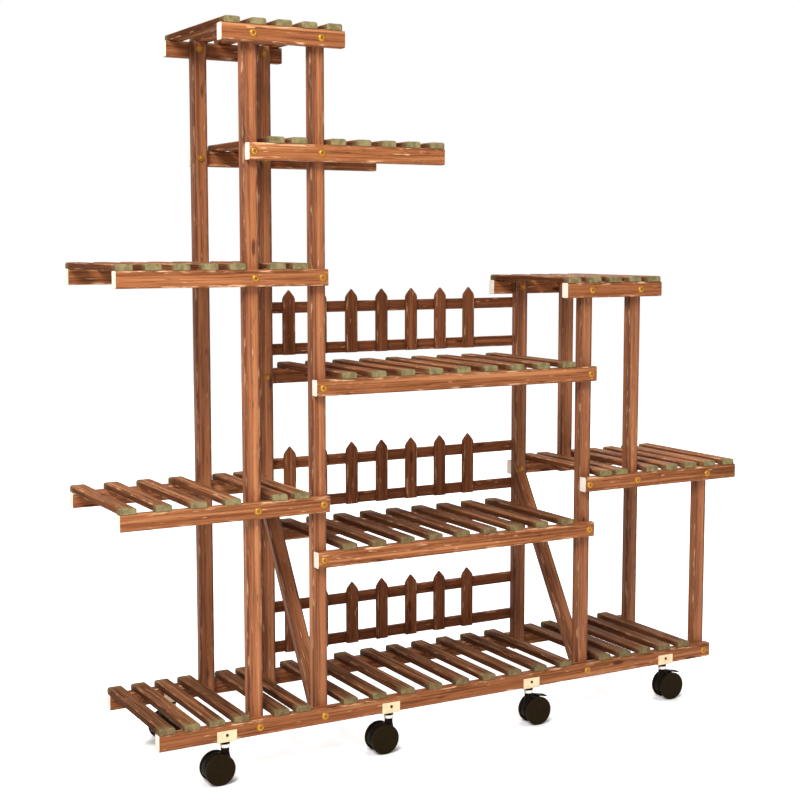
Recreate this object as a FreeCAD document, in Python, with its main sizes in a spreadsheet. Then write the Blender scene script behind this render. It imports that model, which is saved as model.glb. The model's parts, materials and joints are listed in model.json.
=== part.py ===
import FreeCAD, Part
import os
import re
import Sketcher
from FreeCAD import Placement, Rotation, Vector

# A tiered plant stand of stained timber on six swivel casters.
# The stand runs along X, its front faces -Y and it rests on the floor at Z = 0.
# The origin lies at the middle of the length and of the depth.

SIZES = {
    # timber sections
    "StandDepth": 250,
    "PostWidth": 26,
    "PostThickness": 15,
    "RailHeight": 26,
    "RailThickness": 17,
    "StickBevel": 2.5,
    "SlatWidth": 26,
    "SlatThickness": 10,
    "SlatBevel": 3.5,
    # spacing of the five columns of posts, from left to right
    "FirstGap": 114,
    "SecondGap": 522,
    "ThirdGap": 106,
    "FourthGap": 162,
    # height of each shelf, to the top of its rails
    "BaseTop": 94,
    "CenterLowTop": 349,
    "RightLowTop": 429,
    "LowerLeftTop": 439,
    "CenterHighTop": 625,
    "RightHighTop": 771,
    "LeftTop": 799,
    "UpperTop": 991,
    "CrownTop": 1166,
    # reach of each shelf's rails beyond the middle of its end columns
    "BaseLeft": 168,
    "BaseRight": 15,
    "CenterLowLeft": 11,
    "CenterLowRight": 11,
    "RightLowLeft": 10,
    "RightLowRight": 68,
    "LowerLeftLeft": 223,
    "LowerLeftRight": 11,
    "CenterHighLeft": 12,
    "CenterHighRight": 12,
    "RightHighLeft": 53,
    "RightHighRight": 47,
    "LeftLeft": 222,
    "LeftRight": 10,
    "UpperLeft": 9,
    "UpperRight": 222,
    "CrownLeft": 52,
    "CrownRight": 41,
    # slats: distance of a run from the rail ends and from the posts
    "EndInset": 1,
    "CrownInset": 5,
    "RightHighInset": 3,
    "RightLowEndInset": 4,
    "PostGap": 3,
    "LowerLeftPostGap": 15,
    "BaseLeftPostGap": 5,
    "BaseRightPostGap": 13,
    "BaseLastPostGap": 21,
    "RightLowPostGap": 8,
    "WideBayPostGap": 21,
    # bolts through each crossing of a rail and a post
    "BoltShank": 6,
    "BoltClearance": 0.2,
    "BoltTail": 1.5,
    "HeadDiameter": 10,
    "HeadHeight": 2.5,
    "NutWidth": 9,
    "NutHeight": 3,
    # slanted braces between the front and back posts
    "BraceThickness": 15,
    "BraceFoot": 3,
    "BraceHead": 34,
    "BraceNutGap": 1,
    # picket fences
    "PicketWidth": 22,
    "PicketThickness": 8,
    "PicketHeight": 111,
    "PicketPoint": 13,
    "PicketPitch": 60.5,
    "FirstPicket": 47.5,
    "FenceRailHeight": 19,
    "FenceRailThickness": 8,
    "FenceRailReach": 11,
    "FenceRailRise": 71.5,
    "BaseFenceLift": 31,
    "CenterLowFenceLift": 29,
    "CenterHighFenceLift": 23,
    # casters: places along the base rails
    "LeftCasterReach": 57,
    "CenterCasterInset": 121,
    "RightCasterInset": 91,
    # casters: saddle bracket and its screw
    "BracketWidth": 33,
    "BracketWall": 1.5,
    "BracketDrop": 9,
    "ScrewDrop": 7,
    "ScrewShank": 4,
    "ScrewClearance": 0.2,
    "ScrewHead": 7,
    "ScrewHeadHeight": 1.5,
    # casters: stem, nut and washer
    "StemDiameter": 8,
    "StemThread": 7,
    "StemNutWidth": 13.5,
    "WasherDiameter": 15.5,
    "WasherTop": 59.5,
    "WasherHeight": 4.5,
    "StemFoot": 31,
    # casters: housing
    "NeckDiameter": 14,
    "NeckTop": 54.5,
    "HoodRadius": 24,
    "HoodWall": 2,
    "HoodWidth": 20,
    "WebWidth": 11,
    "WebDrop": 8,
    # casters: twin wheels
    "WheelDiameter": 50,
    "WheelSpan": 30,
    "ShoulderGap": 0.6,
    "SideGap": 0.4,
    "AxleDiameter": 6,
    "CasterTrail": 13,
    "ShaftClearance": 0.06,
    # casters: brake lever of the two right-hand front casters
    "PivotDistance": 16,
    "PivotDiameter": 3,
    "LeverStalk": 5,
    "LeverStalkWidth": 6,
    "LeverInner": 6,
    "LeverOuter": 18,
    "LeverWidth": 12,
    "LeverThickness": 2,
    "LeverLift": 0.8,
    "LeverPlay": 0.3,
    "LeverSwing": 2.5,
    # overrun of every cutting shape
    "Overrun": 2,
}
SCREW_SIDE_COUNT = 6
BORE_SIDE_COUNT = 8
NECK_SIDE_COUNT = 10
SHOULDER_SIDE_COUNT = 12
WHEEL_SIDE_COUNT = 20
BRAKE_ANGLE = 12

# Columns of posts, from left to right, as formulas of the sizes
LENGTH = "(LowerLeftLeft + FirstGap + SecondGap + ThirdGap + FourthGap + RightLowRight)"
OUTER_LEFT = f"(LowerLeftLeft - {LENGTH} / 2)"
INNER_LEFT = f"({OUTER_LEFT} + FirstGap)"
MIDDLE = f"({INNER_LEFT} + SecondGap)"
INNER_RIGHT = f"({MIDDLE} + ThirdGap)"
OUTER_RIGHT = f"({INNER_RIGHT} + FourthGap)"
COLUMNS = {
    "outer_left": OUTER_LEFT,
    "inner_left": INNER_LEFT,
    "middle": MIDDLE,
    "inner_right": INNER_RIGHT,
    "outer_right": OUTER_RIGHT,
}

# Columns that each shelf is bolted to, from left to right
SHELVES = {
    "Base": ("outer_left", "inner_left", "middle", "outer_right"),
    "CenterLow": ("inner_left", "middle"),
    "RightLow": ("middle", "inner_right", "outer_right"),
    "LowerLeft": ("outer_left", "inner_left"),
    "CenterHigh": ("inner_left", "middle"),
    "RightHigh": ("middle", "inner_right"),
    "Left": ("outer_left", "inner_left"),
    "Upper": ("outer_left", "inner_left"),
    "Crown": ("outer_left", "inner_left"),
}

# Lowest and highest shelf that each column reaches
POSTS = {
    "outer_left": ("Base", "Crown"),
    "inner_left": ("Base", "Crown"),
    "middle": ("Base", "RightHigh"),
    "inner_right": ("RightLow", "RightHigh"),
    "outer_right": ("Base", "RightLow"),
}

# Casters: place along the stand, side, turn of the wheels and whether it has a brake
LEFT_CASTER = f"({OUTER_LEFT} - LeftCasterReach)"
RIGHT_CASTER = f"({OUTER_RIGHT} - RightCasterInset)"
CASTERS = {
    "front_left": (LEFT_CASTER, "front", 0, False),
    "front_center_left": (f"({INNER_LEFT} + CenterCasterInset)", "front", 0, False),
    "front_center_right": (f"({MIDDLE} - CenterCasterInset)", "front", 180, True),
    "front_right": (RIGHT_CASTER, "front", 180, True),
    "back_left": (LEFT_CASTER, "back", 0, False),
    "back_right": (RIGHT_CASTER, "back", 180, False),
}

FRONT = "(-StandDepth / 2)"
BACK = "(StandDepth / 2)"
BOLT_HEIGHT = "(RailHeight / 2)"
INNER_DEPTH = "(StandDepth - 2 * (RailThickness + PostThickness))"
ALONG_Y = Rotation(Vector(1, 0, 0), -90)
HALF_FLAT = Rotation(Vector(0, 0, 1), 180 / WHEEL_SIDE_COUNT)
FLAT_DOWN = ALONG_Y.multiply(HALF_FLAT)
UPRIGHT = Rotation()

doc = FreeCAD.newDocument("LadderPlantStand")
sheet = doc.addObject("Spreadsheet::Sheet", "Sizes")
for row, (alias, value) in enumerate(SIZES.items(), 1):
    sheet.set(f"A{row}", str(value))
    sheet.setAlias(f"A{row}", alias)
doc.recompute()

pieces = []


def bind(item, prop, formula):
    """Bind a property to a formula of the sheet's sizes, which all start with a capital."""
    item.setExpression(prop, re.sub(r"\b([A-Z]\w*)", r"Sizes.\1", formula))


def put(item, x, y, z, turn=UPRIGHT):
    """Turn an object, then bind its place."""
    item.Placement = Placement(Vector(), turn)
    bind(item, "Placement.Base.x", x)
    bind(item, "Placement.Base.y", y)
    bind(item, "Placement.Base.z", z)
    return item


def new_body(name):
    return doc.addObject("PartDesign::Body", name)


def feature(body, kind, name, **formulas):
    """A feature of a body, with its sizes bound to formulas."""
    item = body.newObject("PartDesign::" + kind, name)
    for prop, formula in formulas.items():
        bind(item, prop, formula)
    return item


def box(body, kind, name, sizes, corner, turn=UPRIGHT):
    """A block given by its three sizes and its lowest corner."""
    item = feature(body, kind + "Box", name, Length=sizes[0], Width=sizes[1], Height=sizes[2])
    return put(item, *corner, turn)


def flats(body, kind, name, sides, radius, length, start, turn=UPRIGHT):
    """A prism with flat sides, given by the circle round its corners."""
    item = feature(body, kind + "Prism", name, Circumradius=radius, Height=length)
    item.Polygon = sides
    return put(item, *start, turn)


def shaft(body, name, radius, length, start, turn=UPRIGHT):
    """A round shaft that something turns on or with."""
    item = feature(body, "AdditiveCylinder", name, Radius=radius, Height=length)
    return put(item, *start, turn)


def bore(body, name, radius, length, start, turn=UPRIGHT):
    """The bore of a shaft, whose flats touch a circle that clears the shaft."""
    across_corners = f"({radius} + ShaftClearance) / cos({180 / BORE_SIDE_COUNT})"
    return flats(body, "Subtractive", name, BORE_SIDE_COUNT, across_corners, length, start, turn)


def disc(body, kind, name, radius, length, start):
    """A disc about Y whose many flats touch its circle, with one flat down."""
    across_corners = f"{radius} / cos({180 / WHEEL_SIDE_COUNT})"
    return flats(body, kind, name, WHEEL_SIDE_COUNT, across_corners, length, start, FLAT_DOWN)


def bevel(body, base, name, size, wanted):
    """A bevel along the edges of a feature that a test picks."""
    base.recompute()
    edges = base.Shape.Edges
    names = [f"Edge{i}" for i, edge in enumerate(edges, 1) if wanted(edge)]
    item = feature(body, "Chamfer", name, Size=size)
    item.Base = (base, names)
    return item


def runs_along(edge, direction):
    return abs(edge.tangentAt(edge.FirstParameter).dot(direction)) > 0.9


def outline(body, name, role, points):
    """A closed sketch on an origin plane, with each corner bound to two formulas."""
    sketch = body.newObject("Sketcher::SketchObject", name)
    plane = next(item for item in body.Origin.OriginFeatures if item.Role == role)
    sketch.AttachmentSupport = [(plane, "")]
    sketch.MapMode = "FlatFace"
    count = len(points)
    for i in range(count):
        sketch.addGeometry(Part.LineSegment(Vector(i, i * i, 0), Vector(i + 1, (i + 1) ** 2, 0)))
    for i in range(count):
        sketch.addConstraint(Sketcher.Constraint("Coincident", i, 2, (i + 1) % count, 1))
    for i, (across, up) in enumerate(points):
        for axis, line, formula in (("X", -2, across), ("Y", -1, up)):
            if formula == "0":
                sketch.addConstraint(Sketcher.Constraint("PointOnObject", i, 1, line))
                continue
            constraint = Sketcher.Constraint("Distance" + axis, -1, 1, i, 1, i + 1)
            index = sketch.addConstraint(constraint)
            sketch.renameConstraint(index, f"corner{i}{axis}")
            bind(sketch, f"Constraints.corner{i}{axis}", formula)
    return sketch


def placed_copy(master, name, x, y, z, turn=UPRIGHT):
    """A copy of a master piece, in its own place."""
    item = doc.addObject("Part::Compound", name)
    item.Links = [master]
    return put(item, x, y, z, turn)


def group(name, members):
    """A sub-part of several separate solids of one kind."""
    item = doc.addObject("Part::Compound", name)
    item.Links = members
    return sub_part(item, name)


def sub_part(item, name):
    item.Label = name
    pieces.append(item)
    return item


def words(shelf):
    """The shelf's name as words joined by low lines."""
    return re.sub(r"(?<!^)([A-Z])", r"_\1", shelf).lower()


def rail_start(shelf):
    return f"({COLUMNS[SHELVES[shelf][0]]} - {shelf}Left)"


def rail_end(shelf):
    return f"({COLUMNS[SHELVES[shelf][-1]]} + {shelf}Right)"


def left_of(column):
    return f"({COLUMNS[column]} - PostWidth / 2)"


def right_of(column):
    return f"({COLUMNS[column]} + PostWidth / 2)"


def side_start(side, inset, thickness):
    """Where a stick starts in Y when its outer face lies an inset inside the stand's side."""
    if side == "front":
        return f"{FRONT} + {inset}"
    return f"{BACK} - {inset} - {thickness}"


def drill(body, name, radius, thickness, across, up):
    """A bolt hole through a stick, from its front to its back."""
    length = f"{thickness} + 2 * Overrun"
    start = (across, "-Overrun", up)
    return flats(body, "Subtractive", name, SCREW_SIDE_COUNT, radius, length, start, ALONG_Y)


def make_rail(shelf, side):
    """A rail along one side of a shelf, with a hole at each post and at each caster under it."""
    name = f"{words(shelf)}_{side}_rail"
    body = new_body(name)
    start = rail_start(shelf)
    length = f"{rail_end(shelf)} - {start}"
    sizes = (length, "RailThickness", "RailHeight")
    stick = box(body, "Additive", name + "_stick", sizes, ("0", "0", "0"))
    bevel(body, stick, name + "_bevel", "StickBevel", lambda edge: runs_along(edge, Vector(1, 0, 0)))
    for column in SHELVES[shelf]:
        across = f"{COLUMNS[column]} - {start}"
        radius = "BoltShank / 2 + BoltClearance"
        drill(body, f"{name}_{column}_hole", radius, "RailThickness", across, BOLT_HEIGHT)
    for caster, (place, caster_side, _, _) in CASTERS.items():
        if shelf == "Base" and caster_side == side:
            across = f"{place} - {start}"
            radius = "ScrewShank / 2 + ScrewClearance"
            up = "RailHeight - BracketDrop - ScrewDrop"
            drill(body, f"{name}_{caster}_hole", radius, "RailThickness", across, up)
    put(body, start, side_start(side, "0", "RailThickness"), f"{shelf}Top - RailHeight")
    sub_part(body, name)


def make_post(column, side):
    """A post of one column, with a hole at each rail that crosses it."""
    name = f"{column}_{side}_post"
    body = new_body(name)
    lowest, highest = POSTS[column]
    foot = f"({lowest}Top - RailHeight)"
    sizes = ("PostWidth", "PostThickness", f"{highest}Top - {foot}")
    stick = box(body, "Additive", name + "_stick", sizes, ("0", "0", "0"))
    bevel(body, stick, name + "_bevel", "StickBevel", lambda edge: runs_along(edge, Vector(0, 0, 1)))
    for shelf, columns in SHELVES.items():
        if column in columns:
            up = f"{shelf}Top - {BOLT_HEIGHT} - {foot}"
            radius = "BoltShank / 2 + BoltClearance"
            drill(body, f"{name}_{shelf}_hole", radius, "PostThickness", "PostWidth / 2", up)
    put(body, left_of(column), side_start(side, "RailThickness", "PostThickness"), foot)
    sub_part(body, name)


def make_slat():
    """One slat across the stand, with its two long top edges bevelled."""
    body = new_body("slat")
    points = [
        ("0", "0"),
        ("SlatWidth", "0"),
        ("SlatWidth", "SlatThickness - SlatBevel"),
        ("SlatWidth - SlatBevel", "SlatThickness"),
        ("SlatBevel", "SlatThickness"),
        ("0", "SlatThickness - SlatBevel"),
    ]
    pad = feature(body, "Pad", "slat_length", Length="StandDepth")
    pad.Profile = outline(body, "slat_section", "XZ_Plane", points)
    return body


def make_slats(shelf, slat, runs):
    """The slats of a shelf: each run is evenly spaced between its start and its end."""
    name = f"{words(shelf)}_slats"
    members = []
    for start, end, count in runs:
        step = f"(({end} - {start} - SlatWidth) / {count - 1})"
        for i in range(count):
            copy_name = f"{name}_{len(members) + 1}"
            members.append(placed_copy(slat, copy_name, f"{start} + {i} * {step}", BACK, f"{shelf}Top"))
    group(name, members)


def pair_between(left, right):
    """Two slats between two columns, with three equal gaps."""
    gap = f"(({left_of(right)} - {right_of(left)} - 2 * SlatWidth) / 3)"
    return f"({right_of(left)} + {gap})", f"({left_of(right)} - {gap})", 2


def wide_bay():
    """The run of nine slats in the wide bay, clear of the posts and braces at its ends."""
    return f"({right_of('inner_left')} + WideBayPostGap)", f"({left_of('middle')} - WideBayPostGap)", 9


def make_all_slats():
    slat = make_slat()
    left_pair = pair_between("outer_left", "inner_left")
    after_inner_left = f"({right_of('inner_left')} + PostGap)"
    make_slats("Crown", slat, [
        (f"({rail_start('Crown')} + CrownInset)", f"({rail_end('Crown')} - CrownInset)", 5),
    ])
    make_slats("Upper", slat, [
        left_pair,
        (after_inner_left, f"({rail_end('Upper')} - EndInset)", 5),
    ])
    make_slats("Left", slat, [
        (f"({rail_start('Left')} + EndInset)", f"({left_of('outer_left')} - PostGap)", 5),
        left_pair,
    ])
    make_slats("LowerLeft", slat, [
        (f"({rail_start('LowerLeft')} + EndInset)", f"({left_of('outer_left')} - LowerLeftPostGap)", 4),
        left_pair,
    ])
    make_slats("Base", slat, [
        (f"({rail_start('Base')} + EndInset)", f"({left_of('outer_left')} - BaseLeftPostGap)", 4),
        left_pair,
        wide_bay(),
        (f"({right_of('middle')} + BaseRightPostGap)", f"({left_of('outer_right')} - BaseLastPostGap)", 5),
    ])
    make_slats("CenterHigh", slat, [wide_bay()])
    make_slats("CenterLow", slat, [wide_bay()])
    make_slats("RightHigh", slat, [
        (f"({rail_start('RightHigh')} + RightHighInset)", f"({rail_end('RightHigh')} - RightHighInset)", 5),
    ])
    after_inner_right = f"({right_of('inner_right')} + RightLowPostGap)"
    make_slats("RightLow", slat, [
        pair_between("middle", "inner_right"),
        (after_inner_right, f"({rail_end('RightLow')} - RightLowEndInset)", 5),
    ])


def make_bolt():
    """A bolt along Y, with the seat of its head at the origin."""
    body = new_body("bolt")
    length = "RailThickness + PostThickness + NutHeight + BoltTail"
    start = ("0", "0", "0")
    flats(body, "Additive", "bolt_shank", SCREW_SIDE_COUNT, "BoltShank / 2", length, start, ALONG_Y)
    start = ("0", "-HeadHeight", "0")
    flats(body, "Additive", "bolt_head", SCREW_SIDE_COUNT, "HeadDiameter / 2", "HeadHeight", start, ALONG_Y)
    return body


def make_nut():
    """A nut along Y, seated at the origin."""
    body = new_body("nut")
    radius = "NutWidth / 2 / cos(30)"
    start = ("0", "0", "0")
    flats(body, "Additive", "nut_block", SCREW_SIDE_COUNT, radius, "NutHeight", start, ALONG_Y)
    drill(body, "nut_bore", "BoltShank / 2", "NutHeight", "0", "0")
    return body


def make_fixings():
    """A bolt and a nut at every crossing of a rail and a post, front and back."""
    bolt = make_bolt()
    nut = make_nut()
    bolts = []
    nuts = []
    depth = "(RailThickness + PostThickness)"
    for shelf, columns in SHELVES.items():
        up = f"{shelf}Top - {BOLT_HEIGHT}"
        for column in columns:
            mark = f"{shelf}_{column}"
            x = COLUMNS[column]
            back = Rotation(Vector(0, 0, 1), 180)
            bolts.append(placed_copy(bolt, f"bolt_front_{mark}", x, FRONT, up))
            bolts.append(placed_copy(bolt, f"bolt_back_{mark}", x, BACK, up, back))
            nuts.append(placed_copy(nut, f"nut_front_{mark}", x, f"{FRONT} + {depth}", up))
            nuts.append(placed_copy(nut, f"nut_back_{mark}", x, f"{BACK} - {depth}", up, back))
    group("rail_bolts", bolts)
    group("rail_nuts", nuts)


def make_braces():
    """Slanted braces from the foot of a front post up to its back post, in the posts' own plane."""
    body = new_body("brace")
    foot = "(BaseTop - BraceFoot)"
    head = "(RightLowTop - BraceHead)"
    rise = f"({head} - {foot})"
    half = f"(BraceThickness / 2 * sqrt({INNER_DEPTH} ^ 2 + {rise} ^ 2) / {INNER_DEPTH})"
    level = "(BaseTop - RailHeight / 2 + NutWidth / 2 / cos(30) + BraceNutGap)"
    start = f"({foot} - {half})"
    points = [
        ("0", f"{foot} + {half}"),
        ("0", level),
        (f"({level} - {start}) * {INNER_DEPTH} / {rise}", level),
        (INNER_DEPTH, f"{head} - {half}"),
        (INNER_DEPTH, f"{head} + {half}"),
    ]
    pad = feature(body, "Pad", "brace_width", Length="PostWidth")
    pad.Profile = outline(body, "brace_outline", "YZ_Plane", points)
    y = f"{FRONT} + RailThickness + PostThickness"
    columns = ("inner_left", "middle")
    members = [placed_copy(body, f"brace_{name}", left_of(name), y, "0") for name in columns]
    group("diagonal_braces", members)


def make_picket():
    """One fence picket with a pointed top."""
    body = new_body("picket")
    points = [
        ("0", "0"),
        ("PicketWidth", "0"),
        ("PicketWidth", "PicketHeight - PicketPoint"),
        ("PicketWidth / 2", "PicketHeight"),
        ("0", "PicketHeight - PicketPoint"),
    ]
    pad = feature(body, "Pad", "picket_thickness", Length="PicketThickness")
    pad.Profile = outline(body, "picket_outline", "XZ_Plane", points)
    return body


def make_fence(shelf, picket):
    """A low fence behind a shelf: two rails on the backs of the posts, and seven pickets before them."""
    name = f"{words(shelf)}_fence"
    foot = f"{shelf}Top + {shelf}FenceLift"
    seat = f"{BACK} - RailThickness"
    start = f"({INNER_LEFT} - FenceRailReach)"
    members = []
    for level, rise in (("lower", "0"), ("upper", "FenceRailRise")):
        rail = doc.addObject("Part::Box", f"{name}_{level}_rail")
        bind(rail, "Length", f"{MIDDLE} + FenceRailReach - {start}")
        bind(rail, "Width", "FenceRailThickness")
        bind(rail, "Height", "FenceRailHeight")
        members.append(put(rail, start, seat, f"{foot} + {rise}"))
    for i in range(7):
        x = f"{INNER_LEFT} + FirstPicket + {i} * PicketPitch - PicketWidth / 2"
        members.append(placed_copy(picket, f"{name}_picket_{i + 1}", x, seat, foot))
    group(name, members)


def make_bracket():
    """A saddle of sheet metal that straddles the base rail, open at the top."""
    body = new_body("bracket")
    height = "(RailHeight - BracketDrop + BracketWall)"
    width = "(RailThickness + 2 * BracketWall)"
    corner = ("-BracketWidth / 2", f"-{width} / 2", "-BracketWall")
    box(body, "Additive", "bracket_block", ("BracketWidth", width, height), corner)
    sizes = ("BracketWidth + 2 * Overrun", "RailThickness", f"{height} + Overrun")
    corner = ("-BracketWidth / 2 - Overrun", "-RailThickness / 2", "0")
    box(body, "Subtractive", "bracket_channel", sizes, corner)
    start = ("0", "0", "-BracketWall - Overrun")
    length = "BracketWall + 2 * Overrun"
    flats(body, "Subtractive", "bracket_stem_hole", SCREW_SIDE_COUNT, "StemThread / 2", length, start)
    start = ("0", f"-{width} / 2 - Overrun", "RailHeight - BracketDrop - ScrewDrop")
    length = f"{width} + 2 * Overrun"
    radius = "ScrewShank / 2"
    flats(body, "Subtractive", "bracket_screw_hole", SCREW_SIDE_COUNT, radius, length, start, ALONG_Y)
    return body


def make_screw():
    """The screw through both walls of a bracket and the rail between them, along Y."""
    body = new_body("screw")
    half = "(RailThickness / 2 + BracketWall)"
    start = ("0", f"-{half}", "0")
    flats(body, "Additive", "screw_shank", SCREW_SIDE_COUNT, "ScrewShank / 2", f"2 * {half}", start, ALONG_Y)
    start = ("0", f"-{half} - ScrewHeadHeight", "0")
    radius = "ScrewHead / 2"
    flats(body, "Additive", "screw_head", SCREW_SIDE_COUNT, radius, "ScrewHeadHeight", start, ALONG_Y)
    return body


def make_stem():
    """The threaded stem of a caster, with its nut and washer, standing on the floor's frame."""
    body = new_body("stem")
    shaft(body, "stem_pin", "StemDiameter / 2", "WasherTop - StemFoot", ("0", "0", "StemFoot"))
    start = ("0", "0", "WasherTop - WasherHeight")
    flats(body, "Additive", "stem_washer", NECK_SIDE_COUNT, "WasherDiameter / 2", "WasherHeight", start)
    start = ("0", "0", "WasherTop")
    bottom = "(BaseTop - RailHeight - BracketWall)"
    radius = "StemNutWidth / 2 / cos(30)"
    flats(body, "Additive", "stem_nut", SCREW_SIDE_COUNT, radius, f"{bottom} - WasherTop", start)
    length = "BaseTop - RailHeight - WasherTop"
    flats(body, "Additive", "stem_thread", SCREW_SIDE_COUNT, "StemThread / 2", length, start)
    return body


def make_housing(name, has_brake):
    """A caster housing on the floor's frame: neck, hood and web, with its wheels trailing to -X.

    The hood covers the inner shoulders of both wheels. The web between the wheels carries
    the axle and, past it, the socket of the stem.
    """
    body = new_body(name)
    hub = ("-CasterTrail", "-HoodWidth / 2", "WheelDiameter / 2")
    disc(body, "Additive", name + "_drum", "HoodRadius", "HoodWidth", hub)
    start = ("0", "0", "WheelDiameter / 2")
    height = "NeckTop - WheelDiameter / 2"
    flats(body, "Additive", name + "_neck", NECK_SIDE_COUNT, "NeckDiameter / 2", height, start)
    sizes = ("2 * (HoodRadius + NeckDiameter)", "2 * HoodWidth", "WheelDiameter")
    corner = ("-CasterTrail - HoodRadius - NeckDiameter", "-HoodWidth", "-WheelDiameter / 2 - WebDrop")
    box(body, "Subtractive", name + "_lower_cut", sizes, corner)
    well = f"(HoodRadius - HoodWall) / cos({180 / SHOULDER_SIDE_COUNT})"
    for side, start in (("near", "-WebWidth / 2 - HoodWidth"), ("far", "WebWidth / 2")):
        place = ("-CasterTrail", start, "WheelDiameter / 2")
        well_name = f"{name}_{side}_well"
        flats(body, "Subtractive", well_name, SHOULDER_SIDE_COUNT, well, "HoodWidth", place, ALONG_Y)
    bore(body, name + "_socket", "StemDiameter / 2", "NeckTop", ("0", "0", "StemFoot - SideGap"))
    start = ("-CasterTrail", "-HoodWidth", "WheelDiameter / 2")
    bore(body, name + "_axle_bore", "AxleDiameter / 2", "2 * HoodWidth", start, ALONG_Y)
    if has_brake:
        cut_brake_slot(body, name)
    return body


def pivot_place():
    """The brake pivot: a point out from the axle, tipped outward from straight up."""
    x = f"(-CasterTrail - PivotDistance * sin({BRAKE_ANGLE}))"
    z = f"(WheelDiameter / 2 + PivotDistance * cos({BRAKE_ANGLE}))"
    return x, z


def cut_brake_slot(body, name):
    """The slot through the hood in which the brake lever rocks, and the hole of its pivot pin."""
    x, z = pivot_place()
    half = "(LeverStalk / 2 + LeverSwing)"
    width = "(LeverStalkWidth + 2 * LeverPlay)"
    tip = Rotation(Vector(0, 1, 0), -BRAKE_ANGLE)
    sine = f"sin({BRAKE_ANGLE})"
    cosine = f"cos({BRAKE_ANGLE})"
    drop = "(LeverStalk / sqrt(2) + LeverPlay)"
    corner = (f"{x} - {half} * {cosine} + {drop} * {sine}", f"-{width} / 2",
              f"{z} - {half} * {sine} - {drop} * {cosine}")
    sizes = (f"2 * {half}", width, "HoodRadius")
    box(body, "Subtractive", name + "_brake_slot", sizes, corner, tip)
    start = (x, "-WebWidth / 2 - Overrun", z)
    bore(body, name + "_pin_hole", "PivotDiameter / 2", "WebWidth + 2 * Overrun", start, ALONG_Y)


def make_lever():
    """A brake lever about its pivot, pointing out along -X."""
    body = new_body("lever")
    reach = "(HoodRadius - PivotDistance + LeverLift)"
    foot = ("-LeverStalk / 2", "-LeverStalkWidth / 2", "-LeverStalk / 2")
    sizes = ("LeverStalk", "LeverStalkWidth", f"LeverStalk / 2 + {reach}")
    box(body, "Additive", "lever_stalk", sizes, foot)
    corner = ("-LeverOuter", "-LeverWidth / 2", reach)
    box(body, "Additive", "lever_tab", ("LeverInner + LeverOuter", "LeverWidth", "LeverThickness"), corner)
    half = "(WebWidth / 2 - LeverPlay)"
    start = ("0", f"-{half}", "0")
    flats(body, "Additive", "lever_pin", BORE_SIDE_COUNT, "PivotDiameter / 2", f"2 * {half}", start, ALONG_Y)
    return body


def make_wheels():
    """The twin wheels on their axle: treads outside, lower shoulders inside under the hood."""
    body = new_body("wheels")
    half = "(WheelSpan / 2)"
    tread = "((WheelSpan - HoodWidth) / 2 - SideGap)"
    shoulder_start = "(WebWidth / 2 + SideGap)"
    shaft(body, "wheels_axle", "AxleDiameter / 2", "WheelSpan", ("0", f"-{half}", "0"), ALONG_Y)
    for side, start in (("near", f"-{half}"), ("far", f"{half} - {tread}")):
        disc(body, "Additive", f"wheels_{side}_tread", "WheelDiameter / 2", tread, ("0", start, "0"))
    shoulder = "(HoodRadius - HoodWall - ShoulderGap)"
    length = f"{half} - {shoulder_start}"
    for side, start in (("near", f"-{half}"), ("far", shoulder_start)):
        place = ("0", start, "0")
        shoulder_name = f"wheels_{side}_shoulder"
        flats(body, "Additive", shoulder_name, SHOULDER_SIDE_COUNT, shoulder, length, place, ALONG_Y)
    return body


def make_casters():
    """Six casters, each a fixed stem in a saddle bracket, a swivelling housing and its wheels."""
    bracket = make_bracket()
    screw = make_screw()
    stem = make_stem()
    wheels = make_wheels()
    lever = make_lever()
    plain = make_housing("plain_housing", False)
    braked = make_housing("braked_housing", True)
    brackets = []
    screws = []
    stems = []
    for name, (x, side, angle, has_brake) in CASTERS.items():
        y = f"{FRONT} + RailThickness / 2" if side == "front" else f"{BACK} - RailThickness / 2"
        outward = Rotation(Vector(0, 0, 1), 0 if side == "front" else 180)
        turn = Rotation(Vector(0, 0, 1), angle)
        trail = "-CasterTrail" if angle == 0 else "+ CasterTrail"
        bottom = "BaseTop - RailHeight"
        brackets.append(placed_copy(bracket, f"bracket_{name}", x, y, bottom))
        screw_height = "BaseTop - BracketDrop - ScrewDrop"
        screws.append(placed_copy(screw, f"screw_{name}", x, y, screw_height, outward))
        stems.append(placed_copy(stem, f"stem_{name}", x, y, "0"))
        housing = placed_copy(braked if has_brake else plain, f"{name}_caster_housing", x, y, "0", turn)
        sub_part(housing, f"{name}_caster_housing")
        axle = placed_copy(wheels, f"{name}_caster_wheels", f"{x} {trail}", y, "WheelDiameter / 2")
        sub_part(axle, f"{name}_caster_wheels")
        if has_brake:
            local_x, z = pivot_place()
            tip = turn.multiply(Rotation(Vector(0, 1, 0), -BRAKE_ANGLE))
            brake = placed_copy(lever, f"{name}_brake_lever", f"{x} - {local_x}", y, z, tip)
            sub_part(brake, f"{name}_brake_lever")
    group("caster_brackets", brackets)
    group("bracket_screws", screws)
    group("caster_stems", stems)


for shelf_name in SHELVES:
    for side_name in ("front", "back"):
        make_rail(shelf_name, side_name)
for column_name in POSTS:
    for side_name in ("front", "back"):
        make_post(column_name, side_name)
make_all_slats()
make_fixings()
make_braces()
fence_picket = make_picket()
for shelf_name in ("Base", "CenterLow", "CenterHigh"):
    make_fence(shelf_name, fence_picket)
make_casters()

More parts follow.
